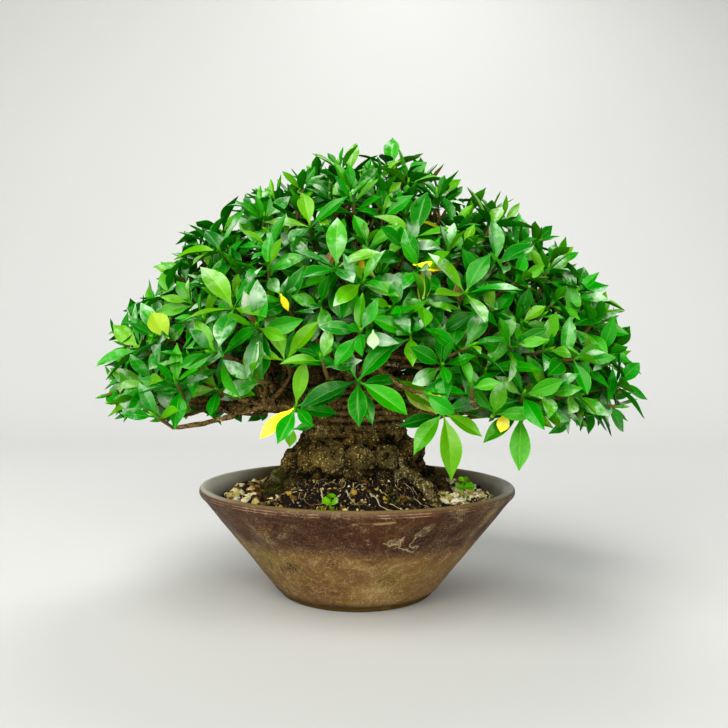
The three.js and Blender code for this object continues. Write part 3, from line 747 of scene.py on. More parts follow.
FACE_SHOOTS = (
    # whorl centre, turn, tilt, leaves as clock, lean and length
    ((46, -95, 121), -86, 12, ((311, 78, 30), (225, 80, 25), (168, 82, 33), (107, 74, 22), (70, 72, 24))),
    ((90, -84, 121), -80, 8, ((287, 76, 20), (242, 78, 25), (189, 80, 31), (119, 60, 18), (20, 60, 20))),
    ((67, -102, 144), -84, 20, ((315, 78, 28), (32, 72, 25), (63, 78, 28), (266, 70, 18), (177, 60, 16))),
    ((1, -106, 138), -92, 16, ((40, 76, 27), (124, 78, 30), (307, 76, 25), (249, 80, 31), (180, 66, 24))),
    ((-32, -98, 124), -96, 10, ((12, 70, 24), (62, 78, 27), (230, 74, 23), (135, 60, 16), (187, 70, 22))),
    ((-37, -102, 148), -95, 22, ((330, 76, 28), (36, 74, 27), (284, 72, 20), (86, 80, 27))),
    ((8, -98, 167), -90, 28, ((9, 66, 22), (284, 76, 23), (104, 70, 19), (180, 50, 16), (65, 60, 18))),
    ((123, -66, 130), -45, 12, ((75, 70, 36), (133, 66, 30), (200, 60, 18), (320, 60, 26), (10, 60, 26))),
    ((146, -34, 127), -20, 6, ((60, 60, 28), (120, 55, 30), (180, 60, 24), (290, 60, 24), (0, 66, 24))),
    ((-121, -54, 129), -125, 14, ((357, 70, 29), (311, 66, 34), (241, 66, 30), (272, 58, 28), (68, 66, 23))),
    ((-76, -84, 133), -108, 16, ((313, 66, 22), (20, 62, 23), (259, 70, 21), (97, 76, 24), (170, 60, 18))),
    ((32, -76, 219), -85, 36, ((15, 62, 28), (90, 70, 24), (160, 66, 22), (225, 66, 24), (300, 66, 24))),
    ((-27, -72, 225), -100, 38, ((345, 60, 24), (50, 66, 26), (120, 70, 24), (200, 66, 22), (275, 70, 25))),
    ((21, -4, 280), -70, 78, ((20, 34, 27), (95, 62, 24), (150, 66, 24), (215, 66, 24), (280, 62, 24))),
    ((-7, -14, 272), -110, 66, ((10, 30, 24), (80, 60, 22), (170, 66, 24), (250, 60, 24), (310, 60, 22))),
)


def crown_point(turn, rise, part):
    """A place in the crown: its turn, how high up the dome it is, and its part of the crown's reach."""
    flat = (1 - rise ** CROWN_ROUNDNESS) ** (1 / CROWN_ROUNDNESS)
    side, front, top = CROWN_REACH
    a = math.radians(turn)
    return CROWN_CENTRE + part * Vector((side * flat * math.cos(a), front * flat * math.sin(a), top * rise))


def outward(at):
    """Direction in which a shoot grows: out of the crown and a little upwards."""
    out = at - CROWN_CENTRE
    out = Vector([v / reach ** 2 for v, reach in zip(out, CROWN_REACH)]).normalized()
    out.z += 0.22
    return out.normalized()


def face_shoot(at, turn, tilt, leaves, seed):
    draw = drawer(seed)
    upper = [(*leaf, 0.06 + 0.1 * draw(), 24 * draw() - 12) for leaf in leaves]
    lower = [(clock + 34, 84, LEAF_LENGTH * 0.8, 0.1, 0) for clock, _, _ in leaves[:2]]
    return {"at": Vector(at), "along": turned(turn, tilt), "stem": 14, "upper": upper, "lower": lower}


def rule_shoot(i, seed):
    draw = drawer(seed)
    turn = GOLDEN_TURN * i + 12 * draw()
    rise = 1 - (1 - (i + 0.5) / RULE_SHOOTS) ** 0.62
    at = crown_point(turn, rise, 0.84 + 0.05 * draw())
    at.z += -6 * draw() if rise < 0.1 else 0
    start = 360 * draw()

    def whorl(clock, lean, length):
        return [(clock + 72 * k + 14 * draw() - 7, lean + 18 * draw(),
                 LEAF_LENGTH * (length + 0.26 * draw()), 0.06 + 0.12 * draw(), 30 * draw() - 15)
                for k in range(5)]

    upper = whorl(start, 50, 0.86)
    lower = whorl(start + 36, 70, 0.78)
    return {"at": at, "along": outward(at), "stem": 15 + 4 * draw(), "upper": upper, "lower": lower}


BUD_HEIGHT = 3.2
FOUND_WITHIN = 0.08  # how near a solid's corner lies to where the rule puts it, mm
FACE_TONES = {
    # number of a face shoot and of its leaf: a colour of its own
    (4, 2): "yellow", (6, 0): "blue", (6, 1): "blue", (6, 2): "blue",
}


def find_shoots():
    """The shoots that the solids hold, each with its node's name and the leaves that it has."""
    names = sorted(n for n in frame["nodes"] if n.startswith("shoot_"))
    corners = [(name, v.co / MM) for name in names for v in frame["nodes"][name].data.vertices]
    tree = KDTree(len(corners))
    for i, (_, co) in enumerate(corners):
        tree.insert(co, i)
    tree.balance()

    def node_at(point):
        _, i, distance = tree.find(point)
        return corners[i][0] if distance < FOUND_WITHIN else None

    listed = [{**face_shoot(*face, 500 + i), "face": i} for i, face in enumerate(FACE_SHOOTS)]
    listed += [rule_shoot(i, 900 + i) for i in range(RULE_SHOOTS)]
    shoots = []
    for shoot in listed:
        shoot["node"] = node_at(shoot["at"] + shoot["along"] * BUD_HEIGHT)
        if not shoot["node"]:
            continue
        shoot["leaves"] = []
        for age, (which, back) in enumerate((("upper", 0), ("lower", WHORL_GAP))):
            for number, entry in enumerate(shoot[which]):
                tone = None if age else FACE_TONES.get((shoot.get("face"), number))
                for shift in SHIFTS:
                    leaf = leaf_at(shoot["at"], shoot["along"], back, entry, shift)
                    reach = leaf["forward"] * leaf["length"] - leaf["face"] * leaf["arch"] * leaf["length"]
                    if node_at(leaf["base"] + reach) == shoot["node"]:
                        if tone:
                            leaf = leaf_at(shoot["at"], shoot["along"], back, entry)
                        shoot["leaves"].append((leaf, age, tone))
                        break
        shoots.append(shoot)
    return shoots


# Sprigs: leafy twigs that stand between the shoots, in shells from the crown's surface inwards.
SPRIG_SHELLS = (
    # tries, part of the crown's reach, its spread, least room at the rim and at the top, leaf pattern
    (2400, 0.86, 0.1, 18, 15, PLAIN_LEAF),
    (700, 0.7, 0.08, 20, 18, INNER_LEAF),
    (300, 0.54, 0.1, 24, 20, INNER_LEAF),
)
SPRIG_SIZE = (0.84, 0.68)  # leaves of a sprig at the crown's rim and at its top, against a shoot's
SKIRT_TRIES = 260
SKIRT_HEIGHT = 122  # mean height of the sprigs on the low limbs
SKIRT_ROOM = 17
SKIRT_SIZE = 0.78
LOWEST_LEAF = 106  # how low the leaves hang, mm
RAGGED = 14  # how much higher some of them end
BARE_RISE = 27  # how much higher they end in front of the trunk
BARE_MIDDLE = -12
BARE_SPREAD = 62


def lowest_leaf(x, y):
    """Height down to which leaves hang: the front of the trunk stays bare."""
    bare = math.exp(-((x - BARE_MIDDLE) / BARE_SPREAD) ** 2) * min(1, max(0, (20 - y) / 40))
    return LOWEST_LEAF + BARE_RISE * bare


BARE_PLACES = (
    # where trunk and limbs show through the front: middle, half size, and how far back it goes
    ((-14, 150), (46, 24), 20), ((-68, 122), (38, 12), -24), ((54, 128), (17, 10), -24),
)


def in_bare_place(at):
    return any(at.y < back and ((at.x - x) / wide) ** 2 + ((at.z - z) / high) ** 2 < 1
               for (x, z), (wide, high), back in BARE_PLACES)


def sprig_at(at, along, seed, size, pattern, draw):
    lean = Vector((draw() - 0.5, draw() - 0.5, draw() - 0.5)) * 0.9
    return {"at": at, "along": (along + lean).normalized(), "stem": 12 + 8 * draw(), "seed": seed,
            "size": size, "pattern": pattern}


def make_sprigs(shoots):
    sprigs = []
    centres = [shoot["at"] for shoot in shoots]

    def has_room(at, room):
        away = np.array(centres) - np.array(at)
        return (away ** 2).sum(axis=1).min() > room * room and at.z > lowest_leaf(at.x, at.y) + 5

    for shell, (tries, part, spread, room_low, room_top, pattern) in enumerate(SPRIG_SHELLS):
        for i in range(tries):
            draw = drawer(3000 + 5000 * shell + i)
            rise = 1 - (1 - draw()) ** 0.6
            at = crown_point(360 * draw(), rise, part + spread * (draw() - 0.5))
            at.z -= 10 * draw() if rise < 0.12 else 0
            room = room_low + (room_top - room_low) * rise
            hidden = in_bare_place(at) and draw() < 0.95
            if hidden or not has_room(at, room * (0.85 + 0.3 * draw())):
                continue
            centres.append(at)
            size = SPRIG_SIZE[0] + (SPRIG_SIZE[1] - SPRIG_SIZE[0]) * rise
            sprig = sprig_at(at, outward(at), 20000 + 5000 * shell + i, size, pattern, draw)
            sprig["open"] = 1 - 0.35 * rise
            sprigs.append(sprig)
    for i in range(SKIRT_TRIES):
        draw = drawer(15000 + i)
        turn, part = GOLDEN_TURN * i, 0.45 + 0.4 * draw()
        at = crown_point(turn, 0.0, part)
        at.z = SKIRT_HEIGHT + 14 * (draw() - 0.5)
        if has_room(at, SKIRT_ROOM) and not in_bare_place(at):
            centres.append(at)
            along = turned(turn + 50 * (draw() - 0.5), 24 * draw() - 24)
            sprigs.append(sprig_at(at, along, 35000 + i, SKIRT_SIZE, PLAIN_LEAF, draw))
    return sprigs


CROWN_BOX = [[cad_box[0][k] / MM - 1.5, cad_box[1][k] / MM + 1.5] for k in range(3)]
RAGGED_SIDE = 0.07  # how much further in some leaves end, as a part of the crown's half width
FRONT_TAPER = 480  # the crown gets narrower towards the front and would end this far out, mm


def kept_inside(leaf):
    """Whether the leaf stays within the crown's box, once it is made a little shorter if need be."""
    for _ in range(3):
        tip = leaf["base"] + leaf["forward"] * leaf["length"]
        narrower = min(1.0, 1 + tip.y / FRONT_TAPER) * (1 - RAGGED_SIDE * leaf["draw"])
        seen = (tip.x / narrower, tip.y, tip.z)
        inside = all(low <= v <= high for v, (low, high) in zip(seen, CROWN_BOX))
        if inside and tip.z > lowest_leaf(tip.x, tip.y) + RAGGED * leaf["draw"]:
            return True
        leaf["length"] *= 0.88
    return False


SPRIG_WHORLS = (
    # lean, size of the leaves, how far back on the twig, number of leaves
    (34, 0.66, 0, 2), (58, 0.92, 3.5, 3), (78, 0.98, 9, 3),
)


def sprig_leaves(sprig):
    """Three whorls of leaves, smaller at the end of the twig."""
    draw = drawer(sprig["seed"])
    leaves = []
    start = 360 * draw()
    for level, (lean, size, back, count) in enumerate(SPRIG_WHORLS):
        for k in range(count):
            clock = start + 60 * level + 360 * k / count + 40 * (draw() - 0.5)
            length = LEAF_LENGTH * (size - 0.12 + 0.3 * draw()) * sprig["size"]
            spread = (lean + 26 * (draw() - 0.4)) * sprig.get("open", 1.0)
            entry = (clock, spread, length, 0.02 + 0.16 * draw(), 80 * (draw() - 0.5))
            towards = (0, -0.6 if sprig["at"].y < 15 else 0.3, 0)
            leaf = leaf_at(sprig["at"], sprig["along"], back, entry, towards=towards)
            leaf = dress(leaf, draw, 0.4 * level)
            if kept_inside(leaf):
                leaves.append(leaf)
    return leaves


# Main limbs: points from the trunk outwards, and the radius at each end, as the solids have them.
LIMBS = (
    (((6, 0, 150), (10, 2, 175), (15, 0, 205), (18, -2, 236)), 15, 4),
    (((-14, -12, 122), (-45, -28, 124), (-78, -36, 121), (-106, -34, 126)), 9, 3),
    (((-10, 0, 136), (-50, 4, 148), (-95, 2, 160), (-128, -4, 164)), 8, 2.8),
    (((-12, 14, 126), (-55, 48, 136), (-96, 66, 140)), 8, 2.8),
    (((2, 2, 158), (-34, 8, 192), (-66, 4, 218)), 8, 2.6),
    (((14, -14, 118), (48, -44, 119), (78, -60, 122)), 6.5, 2.6),
    (((14, -6, 134), (57, -28, 138), (92, -34, 127), (128, -30, 122)), 7, 2.8),
    (((10, 4, 146), (60, 14, 162), (108, 10, 166), (138, 4, 160)), 8, 2.6),
    (((10, 14, 126), (58, 56, 136), (100, 62, 138)), 8, 2.8),
    (((10, 2, 166), (48, 2, 198), (84, 4, 218)), 7, 2.4),
    (((2, -14, 134), (-4, -52, 143), (4, -80, 152)), 7, 2.6),
    (((-10, -14, 124), (-34, -54, 126), (-50, -80, 124)), 7, 2.6),
    (((8, -6, 160), (2, -42, 186), (-8, -66, 196)), 6, 2.4),
    (((4, 16, 132), (8, 66, 142), (4, 94, 142)), 8, 2.6),
    (((8, 8, 162), (4, 48, 190), (0, 72, 196)), 6, 2.4),
    (((12, 0, 196), (-12, 6, 226), (-24, 6, 244)), 5.5, 2.2),
    (((12, 2, 190), (38, 6, 222), (52, 4, 240)), 5.5, 2.2),
)
LIMB_STEP = 2.6
TWIG_END = 1.15  # radius where a twig meets its sprig
STEM_BLADE = (0.5, 0.0, 0.5)  # what a stem has for a leaf's along, across and draw


def limb_paths():
    paths = []
    for points, thick, thin in LIMBS:
        length = sum((Vector(b) - Vector(a)).length for a, b in zip(points, points[1:]))
        steps = int(length / LIMB_STEP)
        path = spline(points, steps)
        radii = [thick + (thin - thick) * (k / steps) ** 0.8 for k in range(steps + 1)]
        paths.append((path, radii))
    return paths


def make_limbs(paths):
    shape = Shape()
    for path, radii in paths:
        bent = [p + 0.9 * noise.noise_vector(p * 0.045) for p in path]
        tube(shape, bent, [r * 0.97 for r in radii], 12, rough=0.34, grain=0.16, burl=(0.7,))
    return shape.to_object("limbs", [BARK], ["trunk"])


def twig_path(sprig, forks):
    """From the nearest point of a limb that lies behind the sprig, round to its stem."""
    end = sprig["at"] - sprig["along"] * sprig["stem"]

    def cost(fork):
        gap = end - fork
        ahead = gap.dot(sprig["along"]) / max(gap.length, 1)
        return gap.length * (1 if ahead > 0.35 else 3)

    start = min(forks, key=cost)
    length = (end - start).length
    bend = end - sprig["along"] * (0.45 * length)
    bend.z = max(bend.z, min(start.z, end.z) - 1)
    steps = max(4, int(length / 5))
    path = []
    for k in range(steps + 1):
        t = k / steps
        path.append(start * (1 - t) ** 2 + bend * (2 * t * (1 - t)) + end * t * t)
    return path, length


def make_twigs(sprigs, paths):
    forks = [p for path, _ in paths for p in path[len(path) // 5:]]
    shape = Shape()
    for sprig in sprigs:
        path, length = twig_path(sprig, forks)
        thick = (1.5 + 0.012 * length) * sprig.get("heft", 0.8)
        radii = [thick + (TWIG_END - thick) * k / (len(path) - 1) for k in range(len(path))]
        bent = [p + 0.7 * noise.noise_vector(p * 0.11) * math.sin(math.pi * k / (len(path) - 1))
                for k, p in enumerate(path)]
        tube(shape, bent, radii, 5, rough=0.5, grain=0.5, burl=(0.9,))
    return shape.to_object("twigs", [TWIG_BARK], ["trunk"])


def add_stem(shape, shoot, draw, rings):
    """The end of a twig, woody at its foot and green at its tip, with swollen nodes and a bud."""
    at, along, stem = shoot["at"], shoot["along"], shoot["stem"]
    heights = np.linspace(-stem - 1, 0.4, rings)
    radii = [0.95 + 0.12 * math.sin(h * 1.9) + 0.14 * draw() for h in heights]
    wood, green = LEAF_COLOURS["wood"], LEAF_COLOURS["full"]
    tints = [blend(wood, green, min(1, max(0, (h + 5) / 5))) for h in heights]
    tube(shape, [at + along * h for h in heights], radii, 5, material=2, tint=tints, blade=STEM_BLADE)
    bud = [at + along * h for h in (0, 1.8, 4.0)]
    tip = blend(green, LEAF_COLOURS["young"], 0.2 + 0.5 * draw())
    tube(shape, bud, [0.95, 0.85, 0.15], 5, material=2, tint=tip, blade=(0.9, 0.5, 0.5))


SINGLE_LEAVES = (
    # foot, tip, width and colour of leaves that stand out by their colour
    ((-36, -80, 112), (-36.4, -81, 101), 6.5, "bright"),
    ((-34, -80, 111), (-23, -82, 114), 5.5, "full"),
    ((-104, -82, 161), (-113, -84, 175), 12, "pale"),
    ((-58, -104, 138), (-51, -106, 158), 9, "faded"),
    ((30, -103, 198.5), (46, -106, 196), 7, "yellow"),
    ((-40, -98, 183), (-36, -99, 175), 4, "gold"),
    ((0, -95, 204), (4, -96, 198), 4, "gold"),
    ((42, -96, 121), (25, -97, 133), 9, "faded"),
    ((44, -97, 122), (41, -99, 135), 5, "gold"),
    ((80, -92, 121), (77, -94, 111), 7, "yellow"),
    ((-28, -92, 157), (-26, -93, 149), 5, "brown"),
    ((53, -95, 190), (54, -96, 181), 4.5, "brown"),
    ((8.5, -113, 163), (8.6, -114, 154), 6.5, "cream"),
)
HANGING_TWIG = ((-35, -79, 123), (-36, -80, 117), (-36, -80, 111))
HANGING_RADII = (1.1, 0.9, 0.8)


def single_leaf(foot, tip, width, colour, draw):
    reach = Vector(tip) - Vector(foot)
    forward = reach.normalized()
    face = turned(FRONT + 30 * (draw() - 0.5), 35)
    face = (face - forward * face.dot(forward)).normalized()
    leaf = {"base": Vector(foot), "forward": forward, "face": face, "left": face.cross(forward),
            "length": reach.length, "arch": 0.04}
    dress(leaf, draw, 0.3, colour)
    leaf["width"] = width
    return leaf


def make_spray(shoot, sprigs, singles, twigs, draw):
    """A shoot's leaves, those of its sprigs and those that stand alone, then twigs and stems."""
    shape = Shape()
    for leaf, age, tone in shoot["leaves"]:
        add_leaf(shape, dress(leaf, draw, age, tone), FINE_LEAF)
    for sprig in sprigs:
        for leaf in sprig_leaves(sprig):
            add_leaf(shape, leaf, sprig["pattern"])
    for leaf in singles:
        add_leaf(shape, leaf, FINE_LEAF)
    for twig in twigs:
        tube(shape, twig, HANGING_RADII, 5, material=2, tint=LEAF_COLOURS["wood"], blade=STEM_BLADE)
    for stem in (shoot, *sprigs):
        add_stem(shape, stem, draw, 9 if stem is shoot else 6)
    number = shoot["node"].split("_")[1]
    shape.to_object(f"spray_{number}", [LEAF_TOP, LEAF_UNDER, STEM], [shoot["node"]],
                    sharp=shape.leaf_rims())


def make_foliage(shoots, sprigs):
    """One piece for each shoot of the solids, with the sprigs that stand nearest to it."""
    tree = KDTree(len(shoots))
    for i, shoot in enumerate(shoots):
        tree.insert(shoot["at"], i)
    tree.balance()

    def nearest(point):
        return tree.find(point)[1]

    near, singles = [[] for _ in shoots], [[] for _ in shoots]
    for sprig in sprigs:
        near[nearest(sprig["at"])].append(sprig)
    draw = drawer(640)
    for foot, tip, width, colour in SINGLE_LEAVES:
        singles[nearest(foot)].append(single_leaf(foot, tip, width, colour, draw))
    for i, shoot in enumerate(shoots):
        twigs = [HANGING_TWIG] if i == nearest(HANGING_TWIG[0]) else []
        make_spray(shoot, near[i], singles[i], twigs, drawer(700 + i))


LEAF_FINISHES = (
    # name, share of dull green over the colour, roughness and gloss
    ("leaf_top", 0.0, 0.2, 0.45),
    ("leaf_under", 0.4, 0.5, 0.15),
    ("green_stem", 0.0, 0.7, 0.3),
)
SIDE_VEINS = 7.0  # along each side of the rib
SUNLIT = (1.35, 1.2, 1.0, 1)  # what the lighter parts of a blade's colour are multiplied by
GREEN_GLOSS = (0.85, 1.0, 0.65, 1)
RUST_SPOT = (45.5, -105, 106)


def painted_leaf_sheen(nodes, where, along, drawn):
    """Painted highlight: a pale sheen in blotches, on some leaves and mostly towards their tips."""
    blotches = nodes.ramp(nodes.noise(where, 70.0, 5.0, 0.65), 0.44, 0.62)
    sheen = nodes.times(nodes.ramp(drawn, 0.46, 0.7), blotches)
    return nodes.times(sheen, nodes.ramp(along, 0.25, 0.7, 0.1, 0.72))


def leaf_material(name, dull, rough, gloss):
    """Green with ribs and veins. The blade attribute is along, across and a draw."""
    material, nodes, shader = new_material(name)
    where = nodes.where()
    along, across, drawn = nodes.parts(nodes.value_of("blade", "Vector"))
    side = nodes.math("ABSOLUTE", across)
    rib = nodes.ramp(side, 0.02, 0.07, 1.0, 0.0)
    sweep = nodes.minus(nodes.times(along, SIDE_VEINS), nodes.times(side, 0.9))
    wave = nodes.math("ABSOLUTE", nodes.math("SINE", nodes.times(sweep, math.pi)))
    vein = nodes.times(nodes.ramp(wave, 0.0, 0.2, 1.0, 0.0), nodes.ramp(side, 0.95, 0.7))
    mottle = nodes.noise(where, 130.0, 3.0)
    tint = nodes.value_of("tint", "Color")
    light = nodes.mix(1.0, tint, SUNLIT, "MULTIPLY")
    colour = nodes.mix(nodes.ramp(mottle, 0.35, 0.75, 0.0, 0.45), tint, light)
    if name != "green_stem":
        colour = nodes.mix(nodes.times(vein, 0.2), colour, light)
        colour = nodes.mix(nodes.ramp(side, 0.88, 1.0, 0.0, 0.4), colour, paint("7fc022"))
        colour = nodes.mix(nodes.times(rib, 0.32), colour, paint("8cc63c"))
    if name == "leaf_top":
        # painted highlight: a pale sheen mixed into the top side's colour
        colour = nodes.mix(painted_leaf_sheen(nodes, where, along, drawn), colour, paint("c4dac2"))
        rust = nodes.fade(nodes.distance(where, RUST_SPOT), 1.6, 1.1)
        colour = nodes.mix(rust, colour, paint("c4641c"))
    if dull:
        colour = nodes.mix(dull, colour, paint("2c8a0e"))
    rough = nodes.ramp(mottle, 0.3, 0.7, rough - 0.05, rough + 0.1)
    nodes.give(shader, {"Base Color": colour, "Roughness": rough, "Specular IOR Level": gloss,
                        "Specular Tint": GREEN_GLOSS})
    relief = nodes.times(nodes.plus(vein, rib), -0.5)
    bumped(nodes, shader, where, 1.6, 0.5, 0.6, 0.25, 0.4, relief)
    return material


PALE_ROOT = ((28, -39, 80), (46, -50, 68))  # line along the right root that lichen covers
ROOT_MOSS = (23, -46, 70)
# lighter tan that paints light onto the upper trunk
PAINTED_LIGHT_BARK = paint("937948")
# near-black of the bark's dark lines and specks, and of the painted shade in its hollows and just above the
# soil
DARK_BARK_AND_SHADE = paint("0d0903")


def bark_moss(nodes, where, x, height):
    """Moss low down at the left, and in one spot beside the right root."""
    moss = nodes.times(nodes.ramp(nodes.noise(where, 55.0, 5.0, 0.7), 0.5, 0.62), nodes.fade(x, -20, -45))
    moss = nodes.times(moss, nodes.fade(height, 86, 74))
    beside = nodes.times(nodes.fade(nodes.distance(where, ROOT_MOSS), 9, 4),
                         nodes.ramp(nodes.noise(where, 160.0, 4.0), 0.4, 0.55))
    return nodes.times(nodes.math("MAXIMUM", moss, beside), 0.85)


def root_lichen(nodes, where, middle, drawn):
    """Pale lichen along the right root, on most of the bark's grains."""
    waver = nodes.times(nodes.minus(nodes.noise(where, 140.0, 4.0), 0.5), 12 * MM)
    away = nodes.plus(off_stroke(nodes, where, PALE_ROOT), waver)
    mask = nodes.times(nodes.fade(away, 8.5, 5), nodes.ramp(drawn, 0.25, 0.5, 0.06, 0.95))
    return nodes.times(mask, nodes.ramp(middle, 0.0, 0.8, 0.15, 1.0))


def bark_material(name, low, high, grain, pale):
    """Grainy bark with lichen on its ridges and moss low down; painted shade darkens its hollows and its
    foot, and painted light makes it lighter higher up.
    """
    material, nodes, shader = new_material(name)
    where = nodes.where()
    x, _, height = nodes.parts(where)
    depth = nodes.value_of("hollow")
    broad = nodes.noise(where, 60.0, 4.0, 0.6)
    middle, drawn = granules(nodes, where, 1.8)
    ground = nodes.mix(nodes.ramp(broad, 0.35, 0.65), low, high)
    # painted light: the bark turns lighter tan higher up, standing in for the light that the crown keeps off
    # it
    painted_light = nodes.times(nodes.fade(height, 96, 116), nodes.ramp(broad, 0.3, 0.6, 0.3, 0.7))
    ground = nodes.mix(painted_light, ground, PAINTED_LIGHT_BARK)
    share = nodes.times(middle, nodes.ramp(drawn, 0.1, 0.8, 0.2, 1.0))
    share = nodes.times(share, nodes.ramp(nodes.noise(where, 120.0, 3.0), 0.36, 0.6, 0.35, 1.0))
    share = nodes.times(share, nodes.ramp(nodes.value_of("burl"), 0.0, 1.0, 0.75, 1.0))
    colour = nodes.mix(share, ground, grain)
    wrinkle = nodes.ramp(off_lines(nodes, where, 330.0), 0.035, 0.004, 0.0, 0.75)
    colour = nodes.mix(wrinkle, colour, DARK_BARK_AND_SHADE)
    colour, _ = speckled(nodes, where, colour, DARK_BARK_AND_SHADE, 1.0, 0.58, 6.0)
    colour = nodes.mix(nodes.ramp(depth, -0.8, -0.1, 0.1, 0.0), colour, grain)
    colour, _ = speckled(nodes, where, colour, pale, 0.8, 0.46, 13.0)
    # painted shade: the deeper a point lies below its neighbours, the darker it is painted
    colour = nodes.mix(nodes.ramp(depth, 0.05, 0.8, 0.0, 0.8), colour, DARK_BARK_AND_SHADE)
    # painted shade: darker low down, just above the soil
    colour = nodes.mix(nodes.fade(height, 86, 77, 0.0, 0.6), colour, DARK_BARK_AND_SHADE)
    colour = nodes.mix(bark_moss(nodes, where, x, height), colour, paint("4c5c0e"))
    colour = nodes.mix(root_lichen(nodes, where, middle, drawn), colour, paint("ecdfa2"))
    nodes.give(shader, {"Base Color": colour, "Roughness": 0.9, "Specular IOR Level": 0.15})
    bumped(nodes, shader, where, 2.6, 0.8, 0.6, 1.6, 1.0, nodes.times(middle, 0.8))
    return material


# Trunk
VOXEL = 1.15
CLIP_RINGS = ((52, 66), (100, 64), (118, 52), (140, 44), (176, 30))  # height and radius
CLIP_SIDES = 32


def clip_solid():
    """A turned body that holds the trunk and the thick ends of its limbs."""
    bm = bmesh.new()
    rows = []
    for z, r in CLIP_RINGS:
        turns = [2 * math.pi * k / CLIP_SIDES for k in range(CLIP_SIDES)]
        rows.append([bm.verts.new((r * math.cos(a) * MM, r * math.sin(a) * MM, z * MM)) for a in turns])
    for low, high in zip(rows, rows[1:]):
        for k in range(CLIP_SIDES):
            n = (k + 1) % CLIP_SIDES
            bm.faces.new((low[k], low[n], high[n], high[k]))
    bm.faces.new(rows[0][::-1])
    bm.faces.new(rows[-1])
    return in_scene("clip", mesh_from(bm, "clip"))


BURLS = (
    # middle of each burl on the bark, its radius and how far it swells
    ((-15, -37, 91), 13.5, 4.4), ((1, -39, 89), 12, 4.0), ((18, -37, 91), 9.4, 3.0),
    ((-31, -25, 87), 11, 1.8), ((23, -26, 108), 8, 1.6), ((31, -22, 99), 8, 1.2),
    ((36, -18, 88), 8, 0.8), ((-22, -27, 104), 8, 0.9), ((8, -31, 104), 8, 0.9),
    ((-14, 37, 90), 12, 3.0), ((20, 34, 95), 11, 2.4), ((-38, 8, 92), 11, 1.4),
    ((42, 8, 94), 10, 0.8), ((2, 34, 106), 9, 1.6),
)
KNOB_PIT = Vector((18, -39, 91))  # hollow in the middle of the round knob
PIT_DEPTH, PIT_RADIUS = 4.2, 2.6
PIT_RIM = 5.2  # radius of the raised rim round the pit
DRAWN_IN = (
    # where the sides of the trunk are slimmer: middle, reach and depth
    ((36, -12, 108), 12, 2.8), ((46, -12, 90), 12, 2.8), ((-50, -8, 92), 9, 1.2),
)
RING_HEIGHT = 120  # middle of the zone with wrinkles that run round the trunk
RING_SPREAD = 13
ROOT_STEPS = 20
ROOTS = (
    # points of each root from the trunk down into the soil, and its radius at both ends
    (((-26, -6, 98), (-40, -12, 84), (-51, -17, 73), (-62, -20, 60)), 9, 4.5),
    (((-30, -18, 86), (-40, -29, 77), (-48, -33, 69), (-58, -36, 58)), 6, 3),
    (((24, -10, 96), (37, -14, 82), (49, -18, 72), (62, -22, 59)), 8.5, 4),
    (((26, -26, 84), (35, -36, 77), (42, -43, 72), (48, -52, 60)), 5, 3),
    (((26, 4, 94), (42, 7, 78), (59, 10, 61)), 8, 4.5),
    (((2, 26, 92), (4, 40, 76), (6, 53, 61)), 9, 4.5),
    (((-24, 20, 92), (-37, 34, 76), (-48, 45, 61)), 9, 4.5),
    (((22, 22, 92), (34, 34, 76), (45, 43, 61)), 8, 4),
)


def with_roots(mesh):
    """The trunk's mesh with its roots set into it, before all is made one skin."""
    roots = Shape()
    for points, thick, thin in ROOTS:
        path = [q + 2.2 * noise.noise_vector(q * 0.09) for q in spline(points, ROOT_STEPS)]
        radii = [thick + (thin - thick) * k / ROOT_STEPS for k in range(ROOT_STEPS + 1)]
        tube(roots, path, radii, 14, rough=0.7, grain=0.14)
    piece = roots.to_object("roots", [])
    bm = bmesh.new()
    bm.from_mesh(mesh)
    bm.from_mesh(piece.data)
    bm.to_mesh(mesh)
    bm.free()
    bpy.data.objects.remove(piece)


def ridged(p):
    return 0.75 - abs(noise.noise(p)) * 1.6


def burl_relief(p):
    """How near a point is to a burl's middle, how far it swells, and how deep the burl's edge is."""
    swollen = lifted = crease = 0.0
    for middle, radius, swell in BURLS:
        away = (p - Vector(middle)).length / radius
        if away >= 2:
            continue
        away *= 1 + 0.5 * noise.noise(p * 0.12) + 0.2 * noise.noise(p * 0.33)
        dome = max(0.0, 1 - away * away) ** 0.6
        swollen = max(swollen, dome)
        lifted = max(lifted, swell * dome)
        edge = math.exp(-((away - 1.1) / 0.17) ** 2)
        below = min(1, max(0, 0.5 + (middle[2] - p.z) / radius))
        deep = 0.6 * swell * edge * (0.2 + 0.8 * below)
        crease = max(crease, deep * (0.8 + 1.2 * noise.noise(p * 0.12)))
    return swollen, lifted, crease


def trunk_relief(p):
    """How far the bark stands out at a point, in millimetres, and how near it is to a burl's middle."""
    height = 0.9 * noise.fractal(p * 0.07, 0.8, 2.1, 3)
    height += 0.35 * ridged(p * 0.16) + 0.4 * ridged(p * 0.36) + 0.7 * noise.noise(p * 0.62)
    rings = math.exp(-((p.z - RING_HEIGHT) / RING_SPREAD) ** 2)
    phase = p.z * 1.35 + 3.2 * noise.noise(p * 0.05) + 0.6 * math.sin(p.x * 0.12)
    height += 1.2 * rings * math.sin(phase)
    swollen, lifted, crease = burl_relief(p)
    height += lifted - crease * (1 - swollen) + 1.1 * swollen * noise.noise(p * 0.31)
    for middle, reach, depth in DRAWN_IN:
        height -= depth * math.exp(-((p - Vector(middle)).length / reach) ** 2)
    pit = (p - KNOB_PIT).length
    height -= PIT_DEPTH * math.exp(-(pit / PIT_RADIUS) ** 2)
    height += 1.4 * math.exp(-((pit - PIT_RIM) / 1.4) ** 2)
    return height, swollen


